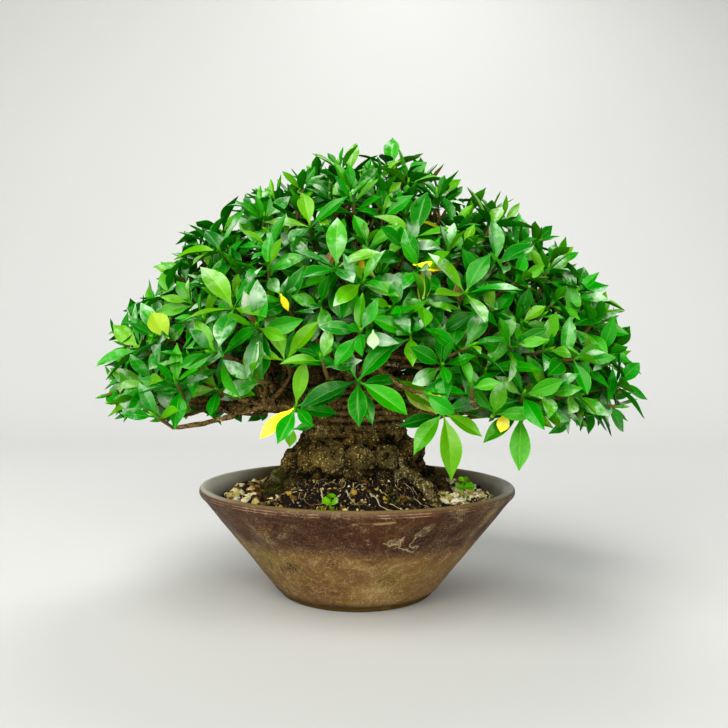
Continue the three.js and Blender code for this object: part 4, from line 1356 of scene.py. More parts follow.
def hollows(mesh, rounds):
    """How deep each point lies below its neighbours, in millimetres, spread over some rounds."""
    count = len(mesh.vertices)
    places, normals = points_of(mesh)
    ends = edge_ends(mesh)
    a, b = ends.T
    degree = np.bincount(ends.ravel(), minlength=count)[:, None]
    smooth = places
    for _ in range(rounds):
        total = np.stack([np.bincount(a, smooth[b, k], count) + np.bincount(b, smooth[a, k], count)
                          for k in range(3)], axis=1)
        smooth = total / degree
    return ((smooth - places) * normals).sum(axis=1)


HOLLOW_ROUNDS = 8


def make_trunk():
    mesh = frame["nodes"]["trunk"].data.copy()
    mesh.materials.clear()
    piece = place("trunk_body", mesh, [BARK], ["trunk"])
    clip = clip_solid()
    applied(piece, "BOOLEAN", operation="INTERSECT", object=clip, solver="EXACT")
    bpy.data.objects.remove(clip)
    with_roots(piece.data)
    applied(piece, "REMESH", mode="VOXEL", voxel_size=VOXEL * MM, use_smooth_shade=True)
    mesh = applied(piece, "SMOOTH", factor=0.5, iterations=4)
    places, normals = points_of(mesh)
    relief = np.array([trunk_relief(Vector(p)) for p in places])
    places += normals * relief[:, :1]
    mesh.vertices.foreach_set("co", (places * MM).ravel())
    mesh.update()
    keep_values(mesh, "hollow", hollows(mesh, HOLLOW_ROUNDS)[:, None])
    keep_values(mesh, "burl", relief[:, 1:])
    return piece


# Pot
def pot_sizes():
    low, high = (Vector(corner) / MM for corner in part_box("pot"))
    return (high.x - low.x) / 2, high.z


RIM_RADIUS, POT_HEIGHT = pot_sizes()
FOOT_RADIUS = 50.5
CONE_RADIUS = 53.4
FOOT_BAND = 3.4
LIP_DEPTH = 7  # height of the thick lip
LIP_OUT = 3  # how far the lip stands out over the cone
FLOOR_TOP = 8
WALL = 6.5
DRAIN_RADIUS = 6
DRAIN_PITCH = 28
DRAIN_TURNS = (90, 210, 330)
DRILL_LENGTH = 40
POT_SIDES = 180


def wall_at(height):
    """Radius of the cone's outside at a height."""
    share = (height - FOOT_BAND) / (POT_HEIGHT - LIP_DEPTH - FOOT_BAND)
    return CONE_RADIUS + (RIM_RADIUS - LIP_OUT - CONE_RADIUS) * share


def pot_profile():
    """From the middle of the underside, up the outside, over the lip and down to the inner floor."""
    profile = [(0, 0), (30, 0), (44, 0.0), (FOOT_RADIUS - 1.2, 0), (FOOT_RADIUS - 0.3, 0.5),
               (FOOT_RADIUS, 1.4), (FOOT_RADIUS + 0.1, FOOT_BAND - 0.9), (FOOT_RADIUS + 0.9, FOOT_BAND - 0.2),
               (CONE_RADIUS - 0.4, FOOT_BAND + 0.4)]
    profile += [(wall_at(z), z) for z in np.linspace(FOOT_BAND + 1.4, POT_HEIGHT - 8, 26)]
    lip = [(-3.2, -7), (-1.8, -5.9), (-0.7, -4.8), (-0.15, -3.6), (0, -2.4), (-0.25, -1.3), (-1.0, -0.5),
           (-2.2, -0.08), (-3.6, 0), (-5.0, -0.35), (-6.3, -1.2), (-7.4, -2.8), (-8.2, -5.2)]
    profile += [(RIM_RADIUS + r, POT_HEIGHT + z) for r, z in lip]
    profile += [(wall_at(z) - WALL, z) for z in np.linspace(POT_HEIGHT - 9, FLOOR_TOP + 3, 12)]
    profile += [(wall_at(FLOOR_TOP) - WALL - 2.5, FLOOR_TOP), (30, FLOOR_TOP), (0, FLOOR_TOP)]
    return profile


def wall_wobble(p, z):
    """How far the hand-thrown wall stands out at a point, in millimetres."""
    wobble = 0.35 * noise.noise(p * 0.03) + 0.12 * noise.noise(p * 0.2)
    return wobble + 0.06 * math.sin(z * 2.4 + noise.noise(p * 0.02) * 2)


def make_pot():
    shape = Shape()
    inner = pot_profile()[1:-1]
    points = []
    for r, z in inner:
        for k in range(POT_SIDES):
            a = 2 * math.pi * k / POT_SIDES
            p = Vector((r * math.cos(a), r * math.sin(a), z))
            if 1 < z < POT_HEIGHT - 0.2 and r > 45:
                p += Vector((math.cos(a), math.sin(a), 0)) * wall_wobble(p, z)
            points.append(p)
    count = len(inner)
    bottom, top = len(points), len(points) + 1
    points += [Vector((0, 0, 0)), Vector((0, 0, FLOOR_TOP))]
    last = (count - 1) * POT_SIDES
    pairs = [(k, (k + 1) % POT_SIDES) for k in range(POT_SIDES)]
    caps = [[n, k, bottom] for k, n in pairs] + [[last + k, last + n, top] for k, n in pairs]
    shape.add(points, quads=ring_faces(count, POT_SIDES), triangles=caps)
    pot = shape.to_object("pot_body", [CLAY], ["pot"])
    drill = drains()
    applied(pot, "BOOLEAN", operation="DIFFERENCE", object=drill, solver="EXACT")
    bpy.data.objects.remove(drill)
    return pot


def drains():
    bm = bmesh.new()
    for turn in DRAIN_TURNS:
        middle = turned(turn) * DRAIN_PITCH * MM
        bmesh.ops.create_cone(bm, cap_ends=True, segments=32, radius1=DRAIN_RADIUS * MM,
                              radius2=DRAIN_RADIUS * MM, depth=DRILL_LENGTH * MM,
                              matrix=Matrix.Translation(middle))
    return in_scene("drill", mesh_from(bm, "drill"))


BAND_EDGE = 44  # height at which the dark band under the lip ends, mm
BAND_SWAY = 22  # how far that edge wanders up and down, mm
LIME_LINES = (
    # wandering edges of dried lime on the wall, as points in x and height
    ((32.5, 53), (31.6, 51), (29.1, 48.7), (29.4, 47), (31.4, 46.5), (34.4, 47), (33.6, 45.6)),
    ((27, 54.5), (24, 51.8), (23.8, 48.4), (23.3, 47.3), (25.8, 45.3), (28, 45.6), (29, 44),
     (32, 43.6)),
    ((15, 50.7), (18.5, 48.4), (20.7, 50), (23, 49.3)),
)
LIME_SWAY = 3.4  # how far the lines waver, mm
LIME_PATCHES = (
    # netted patches of lime: middle in x and height, half length, half width and rise in degrees
    ((37, 56.8), 7.4, 2.6, 35), ((20.7, 51), 5.8, 2.1, 8),
)
CHIP_AT = (18, -47, 2.5)  # worn spot at the foot
SCRATCH_FROM, SCRATCH_TO = (-1, 61.5), (20, 62.4)  # pale scratch under the lip, in x and height
PAINTED_GLINT_HEIGHTS = (68.0, 66.6)  # heights of two pale lines of painted highlight under the lip
DARK_LINE_HEIGHT = 69.9  # height of a thin dark red line under the lip; the mesh has no groove there
LIP_GREY = (70.0, 70.8)  # heights between which the clay turns grey


def lime_mask(nodes, where):
    """Thin wandering lines of lime and two netted patches."""
    blur = nodes.noise(where, 420.0, 3.0, 0.5, "Color")
    sway = nodes.vector("SCALE", nodes.vector("SUBTRACT", blur, (0.5, 0.5, 0.5)), LIME_SWAY * MM)
    flat = nodes.vector("MULTIPLY", nodes.vector("ADD", where, sway), (1.0, 0.0, 1.0))
    nearest = None
    for line in LIME_LINES:
        for (x0, z0), (x1, z1) in zip(line, line[1:]):
            off = off_stroke(nodes, flat, ((x0, 0, z0), (x1, 0, z1)))
            nearest = off if nearest is None else nodes.math("MINIMUM", nearest, off)
    mask = nodes.fade(nearest, 0.6, 0.1, 0.0, 0.75)
    net = nodes.ramp(off_lines(nodes, where, 260.0), 0.045, 0.0, 0.16, 0.75)
    for (x, z), long, wide, rise in LIME_PATCHES:
        local = nodes.vector("SUBTRACT", flat, (x * MM, 0.0, z * MM))
        local = nodes.add("ShaderNodeVectorRotate", {"Vector": local, "Angle": math.radians(rise)},
                          rotation_type="Y_AXIS").outputs[0]
        local = nodes.vector("MULTIPLY", local, (1 / (long * MM), 0.0, 1 / (wide * MM)))
        size = nodes.vector("LENGTH", local, output="Value")
        mask = nodes.math("MAXIMUM", mask, nodes.times(nodes.ramp(size, 1.1, 0.6), net))
    return mask


def clay_body(nodes, where, x, cloud, fine):
    """Brown clay, olive at the left and redder at the right, with red and green tinges."""
    body = nodes.mix(nodes.ramp(cloud, 0.35, 0.65), paint("6a4a26"), paint("7c5f38"))
    body = nodes.mix(nodes.ramp(fine, 0.45, 0.7, 0.0, 0.4), body, paint("8a7442"))
    body = nodes.mix(nodes.fade(x, -10, -60, 0.0, 0.5), body, paint("5f4c18"))
    body = nodes.mix(nodes.fade(x, 20, 60, 0.0, 0.4), body, paint("6d4224"))
    tinge = nodes.noise(where, 19.0, 4.0, 0.6)
    body = nodes.mix(nodes.ramp(tinge, 0.46, 0.36, 0.0, 0.45), body, paint("6a4636"))
    return nodes.mix(nodes.ramp(tinge, 0.54, 0.64, 0.0, 0.3), body, paint("716a30"))


def clay_band(nodes, swayed, cloud, fine):
    """The dark band under the lip, violet along its lower edge."""
    dark = nodes.mix(nodes.ramp(cloud, 0.35, 0.65), paint("321406"), paint("47250d"))
    dark = nodes.mix(nodes.ramp(fine, 0.5, 0.75, 0.0, 0.4), dark, paint("5d3a1e"))
    violet = nodes.times(nodes.fade(swayed, BAND_EDGE + 10, BAND_EDGE + 2), 0.45)
    return nodes.mix(violet, dark, paint("3c2220"))


def clay_bloom(nodes, where, colour, plain):
    """Streaks, pits, lime bloom, crazing and dust on the clay. The bloom's mask comes with it."""
    tall = nodes.add("ShaderNodeMapping", {"Vector": where, "Scale": (1.0, 1.0, 0.4)}).outputs[0]
    streak = nodes.ramp(nodes.noise(tall, 60.0, 6.0, 0.75), 0.5, 0.7, 0.0, 0.4)
    colour = nodes.mix(nodes.times(streak, plain), colour, paint("9c8448"))
    colour, _ = speckled(nodes, where, colour, paint("2a170a"), 0.8, 0.48, 12.0)
    pale = nodes.mix(0.34, colour, paint("d2c28c"))
    colour, bloom = speckled(nodes, where, colour, pale, 0.8, 0.5, 22.0)
    broken = nodes.ramp(nodes.noise(where, 210.0, 2.0), 0.45, 0.6, 0.06, 0.0)
    scratches = nodes.plus(off_lines(nodes, where, 430.0, 1.0, 0.4), broken)
    craze = nodes.math("MINIMUM", off_lines(nodes, where, 170.0), scratches)
    craze = nodes.times(nodes.ramp(craze, 0.024, 0.004, 0.0, 0.42), plain)
    colour = nodes.mix(craze, colour, paint("b9a66c"))
    dusty = nodes.mix(0.6, colour, paint("d8cfae"))
    colour, _ = speckled(nodes, where, colour, dusty, 0.5, 0.4, 8.0)
    return colour, bloom


def scratch_mask(nodes, where, x, height, front):
    """One pale scratch at the front, straight but for a slight waver."""
    (x0, z0), (x1, z1) = SCRATCH_FROM, SCRATCH_TO
    slope = (z1 - z0) / (x1 - x0)
    line = nodes.plus(nodes.times(x, slope), (z0 - slope * x0) * MM)
    line = nodes.plus(line, nodes.times(nodes.noise(where, 120.0, 3.0), 2.2 * MM))
    mask = nodes.times(nodes.fade(nodes.apart(height, line), 1.1, 0.3), front)
    mask = nodes.times(mask, nodes.fade(x, x0 - 2, x0))
    return nodes.times(mask, nodes.fade(x, x1 + 2, x1))


def lip_colours(nodes, colour, height, sway, fine):
    """Paler clay under the lip with two pale lines of painted highlight, a thin dark red line, and the lip's
    grey.
    """
    colour = nodes.mix(nodes.fade(height, 66, 69, 0.0, 0.35), colour, paint("6f5a48"))
    level = nodes.plus(height, nodes.times(sway, 0.02))
    # painted highlight: two thin pale lines under the lip
    for mark in PAINTED_GLINT_HEIGHTS:
        painted_glint = nodes.times(nodes.fade(nodes.apart(level, mark * MM), 0.4, 0.1),
                            nodes.ramp(fine, 0.4, 0.6, 0.0, 0.45))
        colour = nodes.mix(painted_glint, colour, paint("b49a82"))
    dark_line = nodes.fade(nodes.apart(height, DARK_LINE_HEIGHT * MM), 0.5, 0.2)
    colour = nodes.mix(nodes.times(dark_line, 0.6), colour, paint("34120a"))
    grey = nodes.mix(nodes.ramp(fine, 0.35, 0.65), paint("655c4a"), paint("857f6e"))
    return nodes.mix(nodes.times(nodes.fade(height, *LIP_GREY), 0.8), colour, grey)


def inner_wall(nodes, where, height):
    """The inner side of the wall, most of all near the rim."""
    flat = nodes.vector("MULTIPLY", where, (1.0, 1.0, 0.0))
    radius = nodes.vector("LENGTH", flat, output="Value")
    slant = (wall_at(60) - wall_at(10)) / 50
    depth = nodes.minus(radius, nodes.times(height, slant))
    inside = nodes.fade(depth, wall_at(0) - 1.5, wall_at(0) - 4)
    return nodes.times(inside, nodes.fade(height, 58, 69, 0.1, 0.85))


def clay_material():
    """Unglazed brown clay: a dark band under the lip, a paler body with lime bloom, a green foot."""
    material, nodes, shader = new_material("clay")
    where = nodes.where()
    x, y, height = nodes.parts(where)
    cloud = nodes.noise(where, 26.0, 5.0)
    fine = nodes.noise(where, 75.0, 5.0, 0.65)
    sway = nodes.times(nodes.minus(nodes.noise(where, 14.0, 2.0), 0.5), BAND_SWAY * MM)
    swayed = nodes.plus(height, sway)
    band = nodes.fade(swayed, BAND_EDGE - 7, BAND_EDGE + 5)
    colour = nodes.mix(band, clay_body(nodes, where, x, cloud, fine),
                       clay_band(nodes, swayed, cloud, fine))
    plain = nodes.minus(1.0, nodes.times(band, 0.65))
    colour, bloom = clay_bloom(nodes, where, colour, plain)
    front = nodes.fade(y, -50, -60)
    colour = nodes.mix(nodes.times(lime_mask(nodes, where), front), colour, paint("ada078"))
    chip = nodes.times(nodes.fade(nodes.distance(where, CHIP_AT), 3, 2), 0.8)
    colour = nodes.mix(chip, colour, paint("b59a6a"))
    scratch = scratch_mask(nodes, where, x, height, front)
    scratch = nodes.times(scratch, nodes.ramp(fine, 0.3, 0.6, 0.0, 0.8))
    colour = nodes.mix(scratch, colour, paint("a8925e"))
    colour = lip_colours(nodes, colour, height, sway, fine)
    # painted reflection: the rim's inner side turns pale towards its left and right ends, palest at the left
    side = nodes.fade(nodes.math("ABSOLUTE", x), 60, 100)
    painted_reflection = nodes.mix(nodes.fade(x, -60, 60), paint("f0ecdc"), paint("b4ae9c"))
    inside = inner_wall(nodes, where, height)
    colour = nodes.mix(inside, colour, nodes.mix(side, paint("86744c"), painted_reflection))
    foot = nodes.fade(nodes.plus(height, nodes.times(sway, 0.3)), 9, 3)
    colour = nodes.mix(nodes.times(foot, 0.88), colour, paint("453304"))
    rough = nodes.plus(nodes.ramp(fine, 0.3, 0.7, 0.42, 0.62), nodes.times(bloom, 0.2))
    rough = nodes.minus(rough, nodes.times(inside, 0.16))
    nodes.give(shader, {"Base Color": colour, "Roughness": rough, "Specular IOR Level": 0.25})
    bumped(nodes, shader, where, 4.0, 0.8, 0.5, 0.5, 0.7)
    return material


# Soil
SOIL_EDGE_RADIUS = 89.5
SOIL_EDGE_HEIGHT = 60.5
SOIL_MOUND = 7.5
HEAP = 9  # how high the root mat is heaped up against the front of the trunk
HEAP_RADIUS = 40
HEAP_SPREAD = 17
SOIL_SIDES = 150
SOIL_RINGS = 46
SOIL_GAP = 0.5  # between the soil and the pot's wall
SOIL_FOOT = FLOOR_TOP + 0.4
PLUG_HEIGHTS = (52, 40, 24, SOIL_FOOT)


def soil_height(x, y):
    """The soil's surface: a mound, heaped up round the trunk and most of all at its front."""
    radius = math.hypot(x, y)
    rise = max(0.0, 1 - radius / SOIL_EDGE_RADIUS)
    height = SOIL_EDGE_HEIGHT + SOIL_MOUND * (1 - (1 - rise) ** 2.2) ** 0.8
    heap = math.exp(-((radius - HEAP_RADIUS) / HEAP_SPREAD) ** 2)
    height += HEAP * heap * min(1, max(0.25, (10 - y) / 40))
    if radius > SOIL_EDGE_RADIUS - 1:
        return height
    height += 0.7 * math.sin(0.31 * x + 1.3) * math.cos(0.27 * y)
    return height + 0.5 * math.sin(0.53 * y - 0.41 * x)


def make_soil_bed():
    """The soil as one body: a rough top over a plain plug in the pot."""
    shape = Shape()
    rows = [(r, None) for r in np.linspace(4, SOIL_EDGE_RADIUS + 0.4, SOIL_RINGS)]
    rows += [(wall_at(z) - WALL - SOIL_GAP, z) for z in PLUG_HEIGHTS]
    points = []
    for r, z in rows:
        for k in range(SOIL_SIDES):
            a = 2 * math.pi * k / SOIL_SIDES
            x, y = r * math.cos(a), r * math.sin(a)
            top = soil_height(x, y)
            if z is None:
                p = Vector((x, y, 0))
                top += 0.9 * noise.noise(p * 0.22) + 0.6 * noise.noise(p * 0.6)
            points.append((x, y, top if z is None else z))
    top, bottom = len(points), len(points) + 1
    points += [(0, 0, soil_height(0, 0)), (0, 0, SOIL_FOOT)]
    last = (len(rows) - 1) * SOIL_SIDES
    caps = [[k, (k + 1) % SOIL_SIDES, top] for k in range(SOIL_SIDES)]
    caps += [[last + (k + 1) % SOIL_SIDES, last + k, bottom] for k in range(SOIL_SIDES)]
    shape.add(points, quads=ring_faces(len(rows), SOIL_SIDES)[:, ::-1], triangles=caps)
    return shape.to_object("soil_bed", [EARTH], ["soil"])


GRIT_COLOURS = (
    # colour of the grains in the two heaps, and how often it is drawn
    (paint("f8eebc"), 0.34), (paint("d0be74"), 0.2), (paint("8a6230"), 0.12), (paint("4a3018"), 0.1),
    (paint("120d08"), 0.14), (paint("fdf9e6"), 0.1),
)
MIDDLE_COLOURS = (
    # the same for the darker grains that lie all over the soil
    (paint("b8993e"), 0.22), (paint("8a6230"), 0.24), (paint("4a3018"), 0.24), (paint("e0d090"), 0.12),
    (paint("120d08"), 0.18),
)
CRUMB_COLOURS = (
    # the same for the fine crumbs
    (paint("0f0a05"), 0.42), (paint("35210f"), 0.22), (paint("74451a"), 0.14), (paint("b59c48"), 0.13),
    (paint("f3e8b8"), 0.09),
)
LUMPINESS = 0.6  # how far a grain's surface goes in and out, as a part of its radius


def drawn_colour(table, draw):
    chance = draw()
    for colour, share in table:
        chance -= share
        if chance < 0:
            return colour
    return table[0][0]


def rounded_stone(divisions):
    bm = bmesh.new()
    bmesh.ops.create_icosphere(bm, subdivisions=divisions, radius=1.0)
    points = np.array([v.co[:] for v in bm.verts])
    faces = np.array([[v.index for v in f.verts] for f in bm.faces])
    bm.free()
    return points, faces


def add_stone(shape, stone, at, size, tint, draw, shift):
    """A lumpy, squashed and turned grain."""
    points, faces = stone
    lumpy = np.array([1 + LUMPINESS * noise.noise(Vector(p) * 1.4 + shift) for p in points])
    scale = np.array([1.2 - 0.4 * draw(), 1.1 - 0.3 * draw(), 0.9 - 0.3 * draw()])
    spin = np.array(Quaternion(turned(360 * draw(), 180 * draw()), 6.28 * draw()).to_matrix())
    points = (points * lumpy[:, None] * scale * size) @ spin.T
    shape.add(points + np.array(at), triangles=faces, tint=tint)


def around(turn, radius):
    a = math.radians(turn)
    return radius * math.cos(a), radius * math.sin(a)


GRIT_COUNT = 1250
GRIT_SPREAD = 84  # degrees that each of the two heaps takes up
GRIT_MARGIN = 2.5  # room left at the soil's edge
LARGE_GRAIN = 1.7  # radius from which a grain has more faces
GRIT_ZONES = (
    # turn of the middle, inner radius, share left out, least radius of a grain, its range, colours
    (182, 66, 0.5, 1.0, 2.3, GRIT_COLOURS),
    (0, 62, 0.3, 0.9, 2.1, GRIT_COLOURS),
    (None, 48, 0.4, 0.7, 1.3, MIDDLE_COLOURS),
)


def make_grit(stones):
    """Loose grains: one zone of heaps at the left, one at the right, and one all round."""
    shape = Shape()
    draw = drawer(41)
    for i in range(GRIT_COUNT):
        middle, inner, left_out, least, more, colours = GRIT_ZONES[i % len(GRIT_ZONES)]
        turn = 360 * draw()  # drawn for every grain, and kept where there is no heap
        if middle is not None:
            turn = middle + (GRIT_SPREAD * draw() - GRIT_SPREAD / 2)
        radius = inner + (SOIL_EDGE_RADIUS - GRIT_MARGIN - inner) * draw() ** 0.7
        if draw() < left_out:
            continue
        size = least + more * draw() ** 1.4
        x, y = around(turn, radius)
        at = (x, y, soil_height(x, y) + 0.25 * size + 0.8 * draw())
        shift = Vector((13.1 * i % 97, 7.7 * i % 89, i % 31))
        stone = stones[2 if size > LARGE_GRAIN else 1]
        add_stone(shape, stone, at, size, drawn_colour(colours, draw), draw, shift)
    return shape.to_object("soil_grit", [GRIT], ["soil"], smooth=False)


CRUMB_COUNT = 2500
CRUMB_INNER = 36  # radius from which the crumbs lie on the soil


def make_crumbs(stones):
    """Fine dark crumbs with pale bits all over the soil."""
    shape = Shape()
    draw = drawer(43)
    for i in range(CRUMB_COUNT):
        turn = 360 * draw()
        radius = CRUMB_INNER + (SOIL_EDGE_RADIUS - 2 - CRUMB_INNER) * draw() ** 0.8
        size = 0.4 + 1.0 * draw() ** 1.7
        x, y = around(turn, radius)
        at = (x, y, soil_height(x, y) + 0.7 * draw())
        shift = Vector((3.1 * i % 97, 5.7 * i % 89, i % 37))
        add_stone(shape, stones[1], at, size, drawn_colour(CRUMB_COLOURS, draw), draw, shift)
    return shape.to_object("soil_crumbs", [GRIT], ["soil"], smooth=False)


ROOTLET_LINES = (
    # pale fine roots that lie on the soil at the front: points in x and y
    ((-22, -46), (-19, -58), (-14, -70), (-11, -82)),
    ((-34, -50), (-30, -58), (-27, -63)),
    ((-6, -52), (-3, -60), (1, -65)),
    ((8, -54), (12, -60), (15, -68), (20, -72)),
    ((-46, -44), (-54, -50), (-58, -58)),
    ((30, -50), (38, -56), (44, -64)),
    ((52, -36), (58, -42), (66, -44)),
)


ROOTLET_COUNT = 150
HANGING_ROOTLETS = 60  # of these, how many lie near the front of the trunk
ROOTLET_STEPS = 14


def drawn_rootlet(near_trunk, draw):
    """A fine root in three steps that turn a little each."""
    turn = -160 + 140 * draw() if near_trunk else 360 * draw()
    at = turned(turn) * (37 + 20 * draw() if near_trunk else 42 + 34 * draw())
    heading = turn + (90 if near_trunk else 140) * (draw() - 0.5)
    line = [at]
    for _ in range(3):
        heading += 60 * (draw() - 0.5)
        line.append(line[-1] + turned(heading) * (1.6 + 2.4 * draw()))
    return line


def make_rootlets():
    shape = Shape()
    draw = drawer(47)
    lines = [[Vector((x, y, 0)) for x, y in line] for line in ROOTLET_LINES]
    lines += [drawn_rootlet(number < HANGING_ROOTLETS, draw) for number in range(ROOTLET_COUNT)]
    for k, line in enumerate(lines):
        path = [Vector((p.x, p.y, soil_height(p.x, p.y) + 0.9 + 0.8 * noise.noise(p * 0.4)))
                for p in spline(line, ROOTLET_STEPS)]
        thick = 0.6 if k < len(ROOTLET_LINES) else 0.22 + 0.16 * draw()
        radii = [thick * (1 - 0.6 * i / ROOTLET_STEPS) for i in range(ROOTLET_STEPS + 1)]
        tint = blend(paint("4a3018"), paint("e6d8a6"), draw() ** 1.6)
        tube(shape, path, radii, 5, rough=0.4, grain=0.8, tint=tint)
    return shape.to_object("rootlets", [GRIT], ["soil"])


MOSS_PATCHES = (
    # middle in x and y, reach, number of tufts, and how far their green may go towards yellow
    ((-18, -71), 8, 44, 1.0), ((24, -54), 10, 60, 0.3), ((-60, -22), 9, 40, 0.8),
    ((58, -30), 10, 30, 0.6), ((-40, 62), 14, 30, 0.8),
)


def make_moss():
    """Tufts of short pointed moss leaves at the front edge, beside the roots and at the back."""
    shape = Shape()
    draw = drawer(53)
    for (px, py), reach, tufts, fresh in MOSS_PATCHES:
        for _ in range(tufts):
            at = Vector((px, py, 0)) + turned(360 * draw()) * (reach * draw() ** 0.6)
            if at.length > SOIL_EDGE_RADIUS - 2:
                continue
            base = Vector((at.x, at.y, soil_height(at.x, at.y) - 0.2))
            tint = blend(paint("2c3f07"), paint("c8c828"), fresh * draw())
            for _ in range(6):
                tip = base + turned(360 * draw(), 30 + 50 * draw()) * (1.3 + 1.3 * draw())
                tube(shape, [base, base.lerp(tip, 0.6), tip], [0.3, 0.24, 0.04], 3, tint=tint)
    return shape.to_object("moss", [GRIT], ["soil"])


SEEDLINGS = (
    # node, place, height, size and turns of its leaflets
    ("seedling_front", (-14, -76), 11, 0.8, (20, 140, 260)),
    ("seedling_right", (66, -34), 14, 1.0, (50, 170, 290, 350)),
)
LEAFLET_FACE = Vector((0, -0.7, 0.7))
LEAFLET_WHORLS = ((1.0, 0.55), (0.72, 1.0))  # share of the stem's height, and size
WEED_SUNK = 1.5  # how deep the stem stands in the soil, mm
WEED_RADII = (0.55, 0.5, 0.5, 0.45, 0.45, 0.4, 0.35)


def leaflet(at, turn, tilt, length, draw):
    """A small round leaf that faces the viewer as far as its direction lets it."""
    forward = turned(turn, tilt)
    face = LEAFLET_FACE - forward * LEAFLET_FACE.dot(forward)
    face.normalize()
    leaf = {"base": at, "forward": forward, "face": face, "left": face.cross(forward),
            "length": length, "arch": 0.2}
    dress(leaf, draw, 0.2)
    leaf["width"] = leaf["length"] * 0.82
    leaf["foot"], leaf["tip"] = 0.7, 0.55
    leaf["tint"] = blend(LEAF_COLOURS["full"], LEAF_COLOURS["young"], 0.3 + 0.5 * draw())
    return leaf


def make_seedlings():
    """Weeds in the soil: a bent stem with small round leaves."""
    for number, (node, (x, y), height, scale, turns) in enumerate(SEEDLINGS):
        shape = Shape()
        draw = drawer(60 + number)
        foot = Vector((x, y, soil_height(x, y) - WEED_SUNK))
        top = Vector((x, y, soil_height(x, y) + height - WEED_SUNK))
        for level, (share, size) in enumerate(LEAFLET_WHORLS):
            for turn in turns:
                tilt = 34 - 20 * level + 14 * draw()
                leaf = leaflet(foot.lerp(top, share), turn + 50 * level, tilt, 6.6 * size * scale, draw)
                add_leaf(shape, leaf, PLAIN_LEAF)
        last = len(WEED_RADII) - 1
        path = [foot.lerp(top, k / last) + Vector((0.5 * math.sin(k), 0.4 * math.cos(k), 0))
                for k in range(last + 1)]
        tube(shape, path, WEED_RADII, 6, material=2, tint=LEAF_COLOURS["bright"], blade=STEM_BLADE)
        shape.to_object(f"weed_{number + 1}", [LEAF_TOP, LEAF_UNDER, STEM], [node],
                        sharp=shape.leaf_rims())


def earth_material():
    """Black mould full of small bits, a few of them brown, tan or cream."""
    material, nodes, shader = new_material("earth")
    where = nodes.where()
    cloud = nodes.ramp(nodes.noise(where, 90.0), 0.35, 0.65)
    ground = nodes.mix(cloud, paint("0d0906"), paint("241810"))
    middle, drawn = granules(nodes, where, 2.0)
    bits = nodes.mix(nodes.ramp(drawn, 0.46, 0.5), paint("1d130b"), paint("74461d"))
    bits = nodes.mix(nodes.ramp(drawn, 0.66, 0.69), bits, paint("b09846"))
    bits = nodes.mix(nodes.ramp(drawn, 0.86, 0.88), bits, paint("efe4b4"))
    nodes.give(shader, {"Base Color": nodes.mix(middle, ground, bits), "Roughness": 0.95})
    bumped(nodes, shader, where, 2.0, 0.7, 0.5, 1.4, 1.0, nodes.times(middle, 0.7))
    return material


def grit_material():
    material, nodes, shader = new_material("grit")
    where = nodes.where()
    tint = nodes.value_of("tint", "Color")
    colour, _ = speckled(nodes, where, tint, paint("4c3a24"), 0.8, 0.42, 5.0)
    nodes.give(shader, {"Base Color": colour, "Roughness": 0.85})
    bumped(nodes, shader, where, 1.2, 0.4, 0.5, 0.4)
    return material


# Floor and light
SWEEP_SIDE = 2800  # half width of the floor
SWEEP_FRONT, SWEEP_FLAT = -2400, 900  # where it begins, and where it starts to curve up
SWEEP_BEND = 900  # radius of that curve
SWEEP_TOP = 2600
FLOOR_GREY = (0.61, 0.618, 0.612, 1)


def make_floor():
    """A pale floor that curves up behind the object."""
    profile = [(SWEEP_FRONT, 0), (SWEEP_FLAT, 0)]
    for a in np.linspace(0.1, math.pi / 2, 14):
        profile.append((SWEEP_FLAT + SWEEP_BEND * math.sin(a), SWEEP_BEND - SWEEP_BEND * math.cos(a)))
    profile.append((SWEEP_FLAT + SWEEP_BEND, SWEEP_TOP))
    bm = bmesh.new()
    rows = [[bm.verts.new((x * MM, y * MM, z * MM)) for x in (-SWEEP_SIDE, SWEEP_SIDE)]
            for y, z in profile]
    for low, high in zip(rows, rows[1:]):
        bm.faces.new((low[0], low[1], high[1], high[0])).smooth = True
    mesh = mesh_from(bm, "floor")
    material, nodes, shader = new_material("floor")
    nodes.give(shader, {"Base Color": FLOOR_GREY, "Roughness": 0.85})
    mesh.materials.append(material)
    floor = in_scene("floor", mesh)


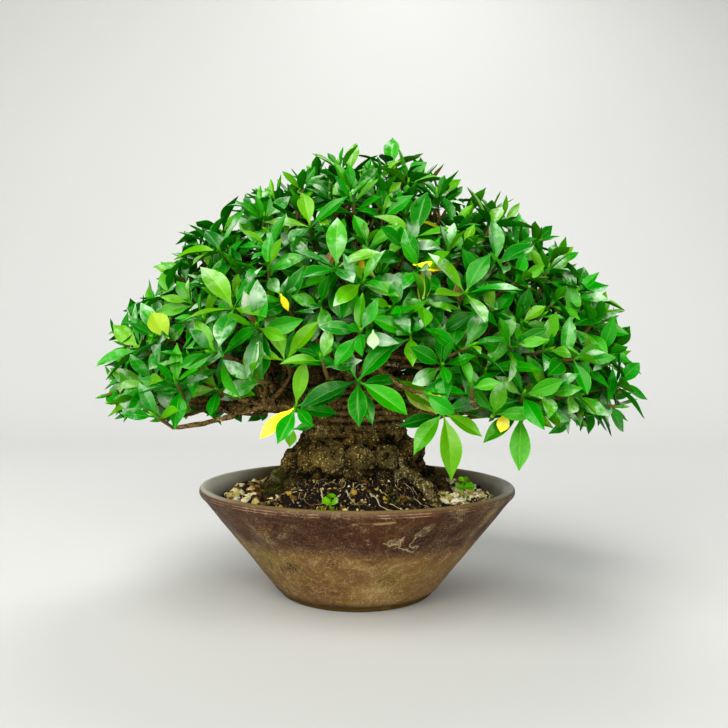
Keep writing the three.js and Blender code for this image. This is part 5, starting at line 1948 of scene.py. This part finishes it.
WARM, WHITE = (1.0, 0.985, 0.94), (1, 1, 1)
LAMPS = (
    # name, place, what it points at, width, power in watts and colour
    ("key", (-530, -1060, 2120), (0, 0, 120), 1600, 37, WARM),
    ("fill_right", (880, -2300, 690), (0, 0, 100), 1600, 38, WARM),
    ("fill_left", (-1420, -1780, 820), (0, 0, 90), 1420, 32, WARM),
    ("back", (300, 1150, 2060), (0, 0, 160), 1000, 13, WHITE),
    ("backdrop_left", (-1500, 600, 600), (-900, 1800, 400), 1000, 2.6, WHITE),
    ("backdrop_right", (1500, 600, 600), (900, 1800, 400), 1000, 3.2, WHITE),
)
ROOM_COLOUR = (0.99, 1.0, 0.97, 1)
ROOM_LIGHT = 0.12  # strength of the light from all around
ROOM_SEEN = 0.5  # how much brighter the camera sees the room than it shines


def add_light(name, at, aim, width, power, colour):
    data = bpy.data.lights.new(name, "AREA")
    data.size = width * MM
    data.energy = power
    data.color = colour
    light = in_scene(name, data)
    light.location = Vector(at) * MM
    light.rotation_mode = "QUATERNION"
    light.rotation_quaternion = (Vector(aim) - Vector(at)).to_track_quat("-Z", "Y")


def make_light():
    """Six lamps in a pale room that shines little by itself."""
    world = bpy.data.worlds.new("studio")
    world.use_nodes = True
    nodes = Nodes(world.node_tree)
    seen = nodes.add("ShaderNodeLightPath").outputs["Is Camera Ray"]
    strength = nodes.plus(nodes.times(seen, ROOM_SEEN), ROOM_LIGHT)
    nodes.give(world.node_tree.nodes["Background"], {"Color": ROOM_COLOUR, "Strength": strength})
    bpy.context.scene.world = world
    for lamp in LAMPS:
        add_light(*lamp)
    bpy.context.scene.view_settings.view_transform = "Standard"
    bpy.context.scene.view_settings.look = "Medium High Contrast"


make_camera()
LEAF_TOP, LEAF_UNDER, STEM = (leaf_material(*finish) for finish in LEAF_FINISHES)
BARK = bark_material("bark", paint("2c210d"), paint("7c6430"), paint("fae690"), paint("e6daa6"))
TWIG_BARK = bark_material("twig_bark", paint("4f3c20"), paint("7f683c"), paint("b89a5e"), paint("d8cc9c"))
CLAY = clay_material()
EARTH = earth_material()
GRIT = grit_material()

shoots = find_shoots()
sprigs = make_sprigs(shoots)
limbs = limb_paths()
make_foliage(shoots, sprigs)
make_trunk()
make_limbs(limbs)
make_twigs([{**shoot, "heft": 1.0} for shoot in shoots] + sprigs, limbs)
make_pot()
make_soil_bed()
stones = {divisions: rounded_stone(divisions) for divisions in (1, 2)}
make_grit(stones)
make_crumbs(stones)
make_rootlets()
make_moss()
make_seedlings()
make_floor()
make_light()
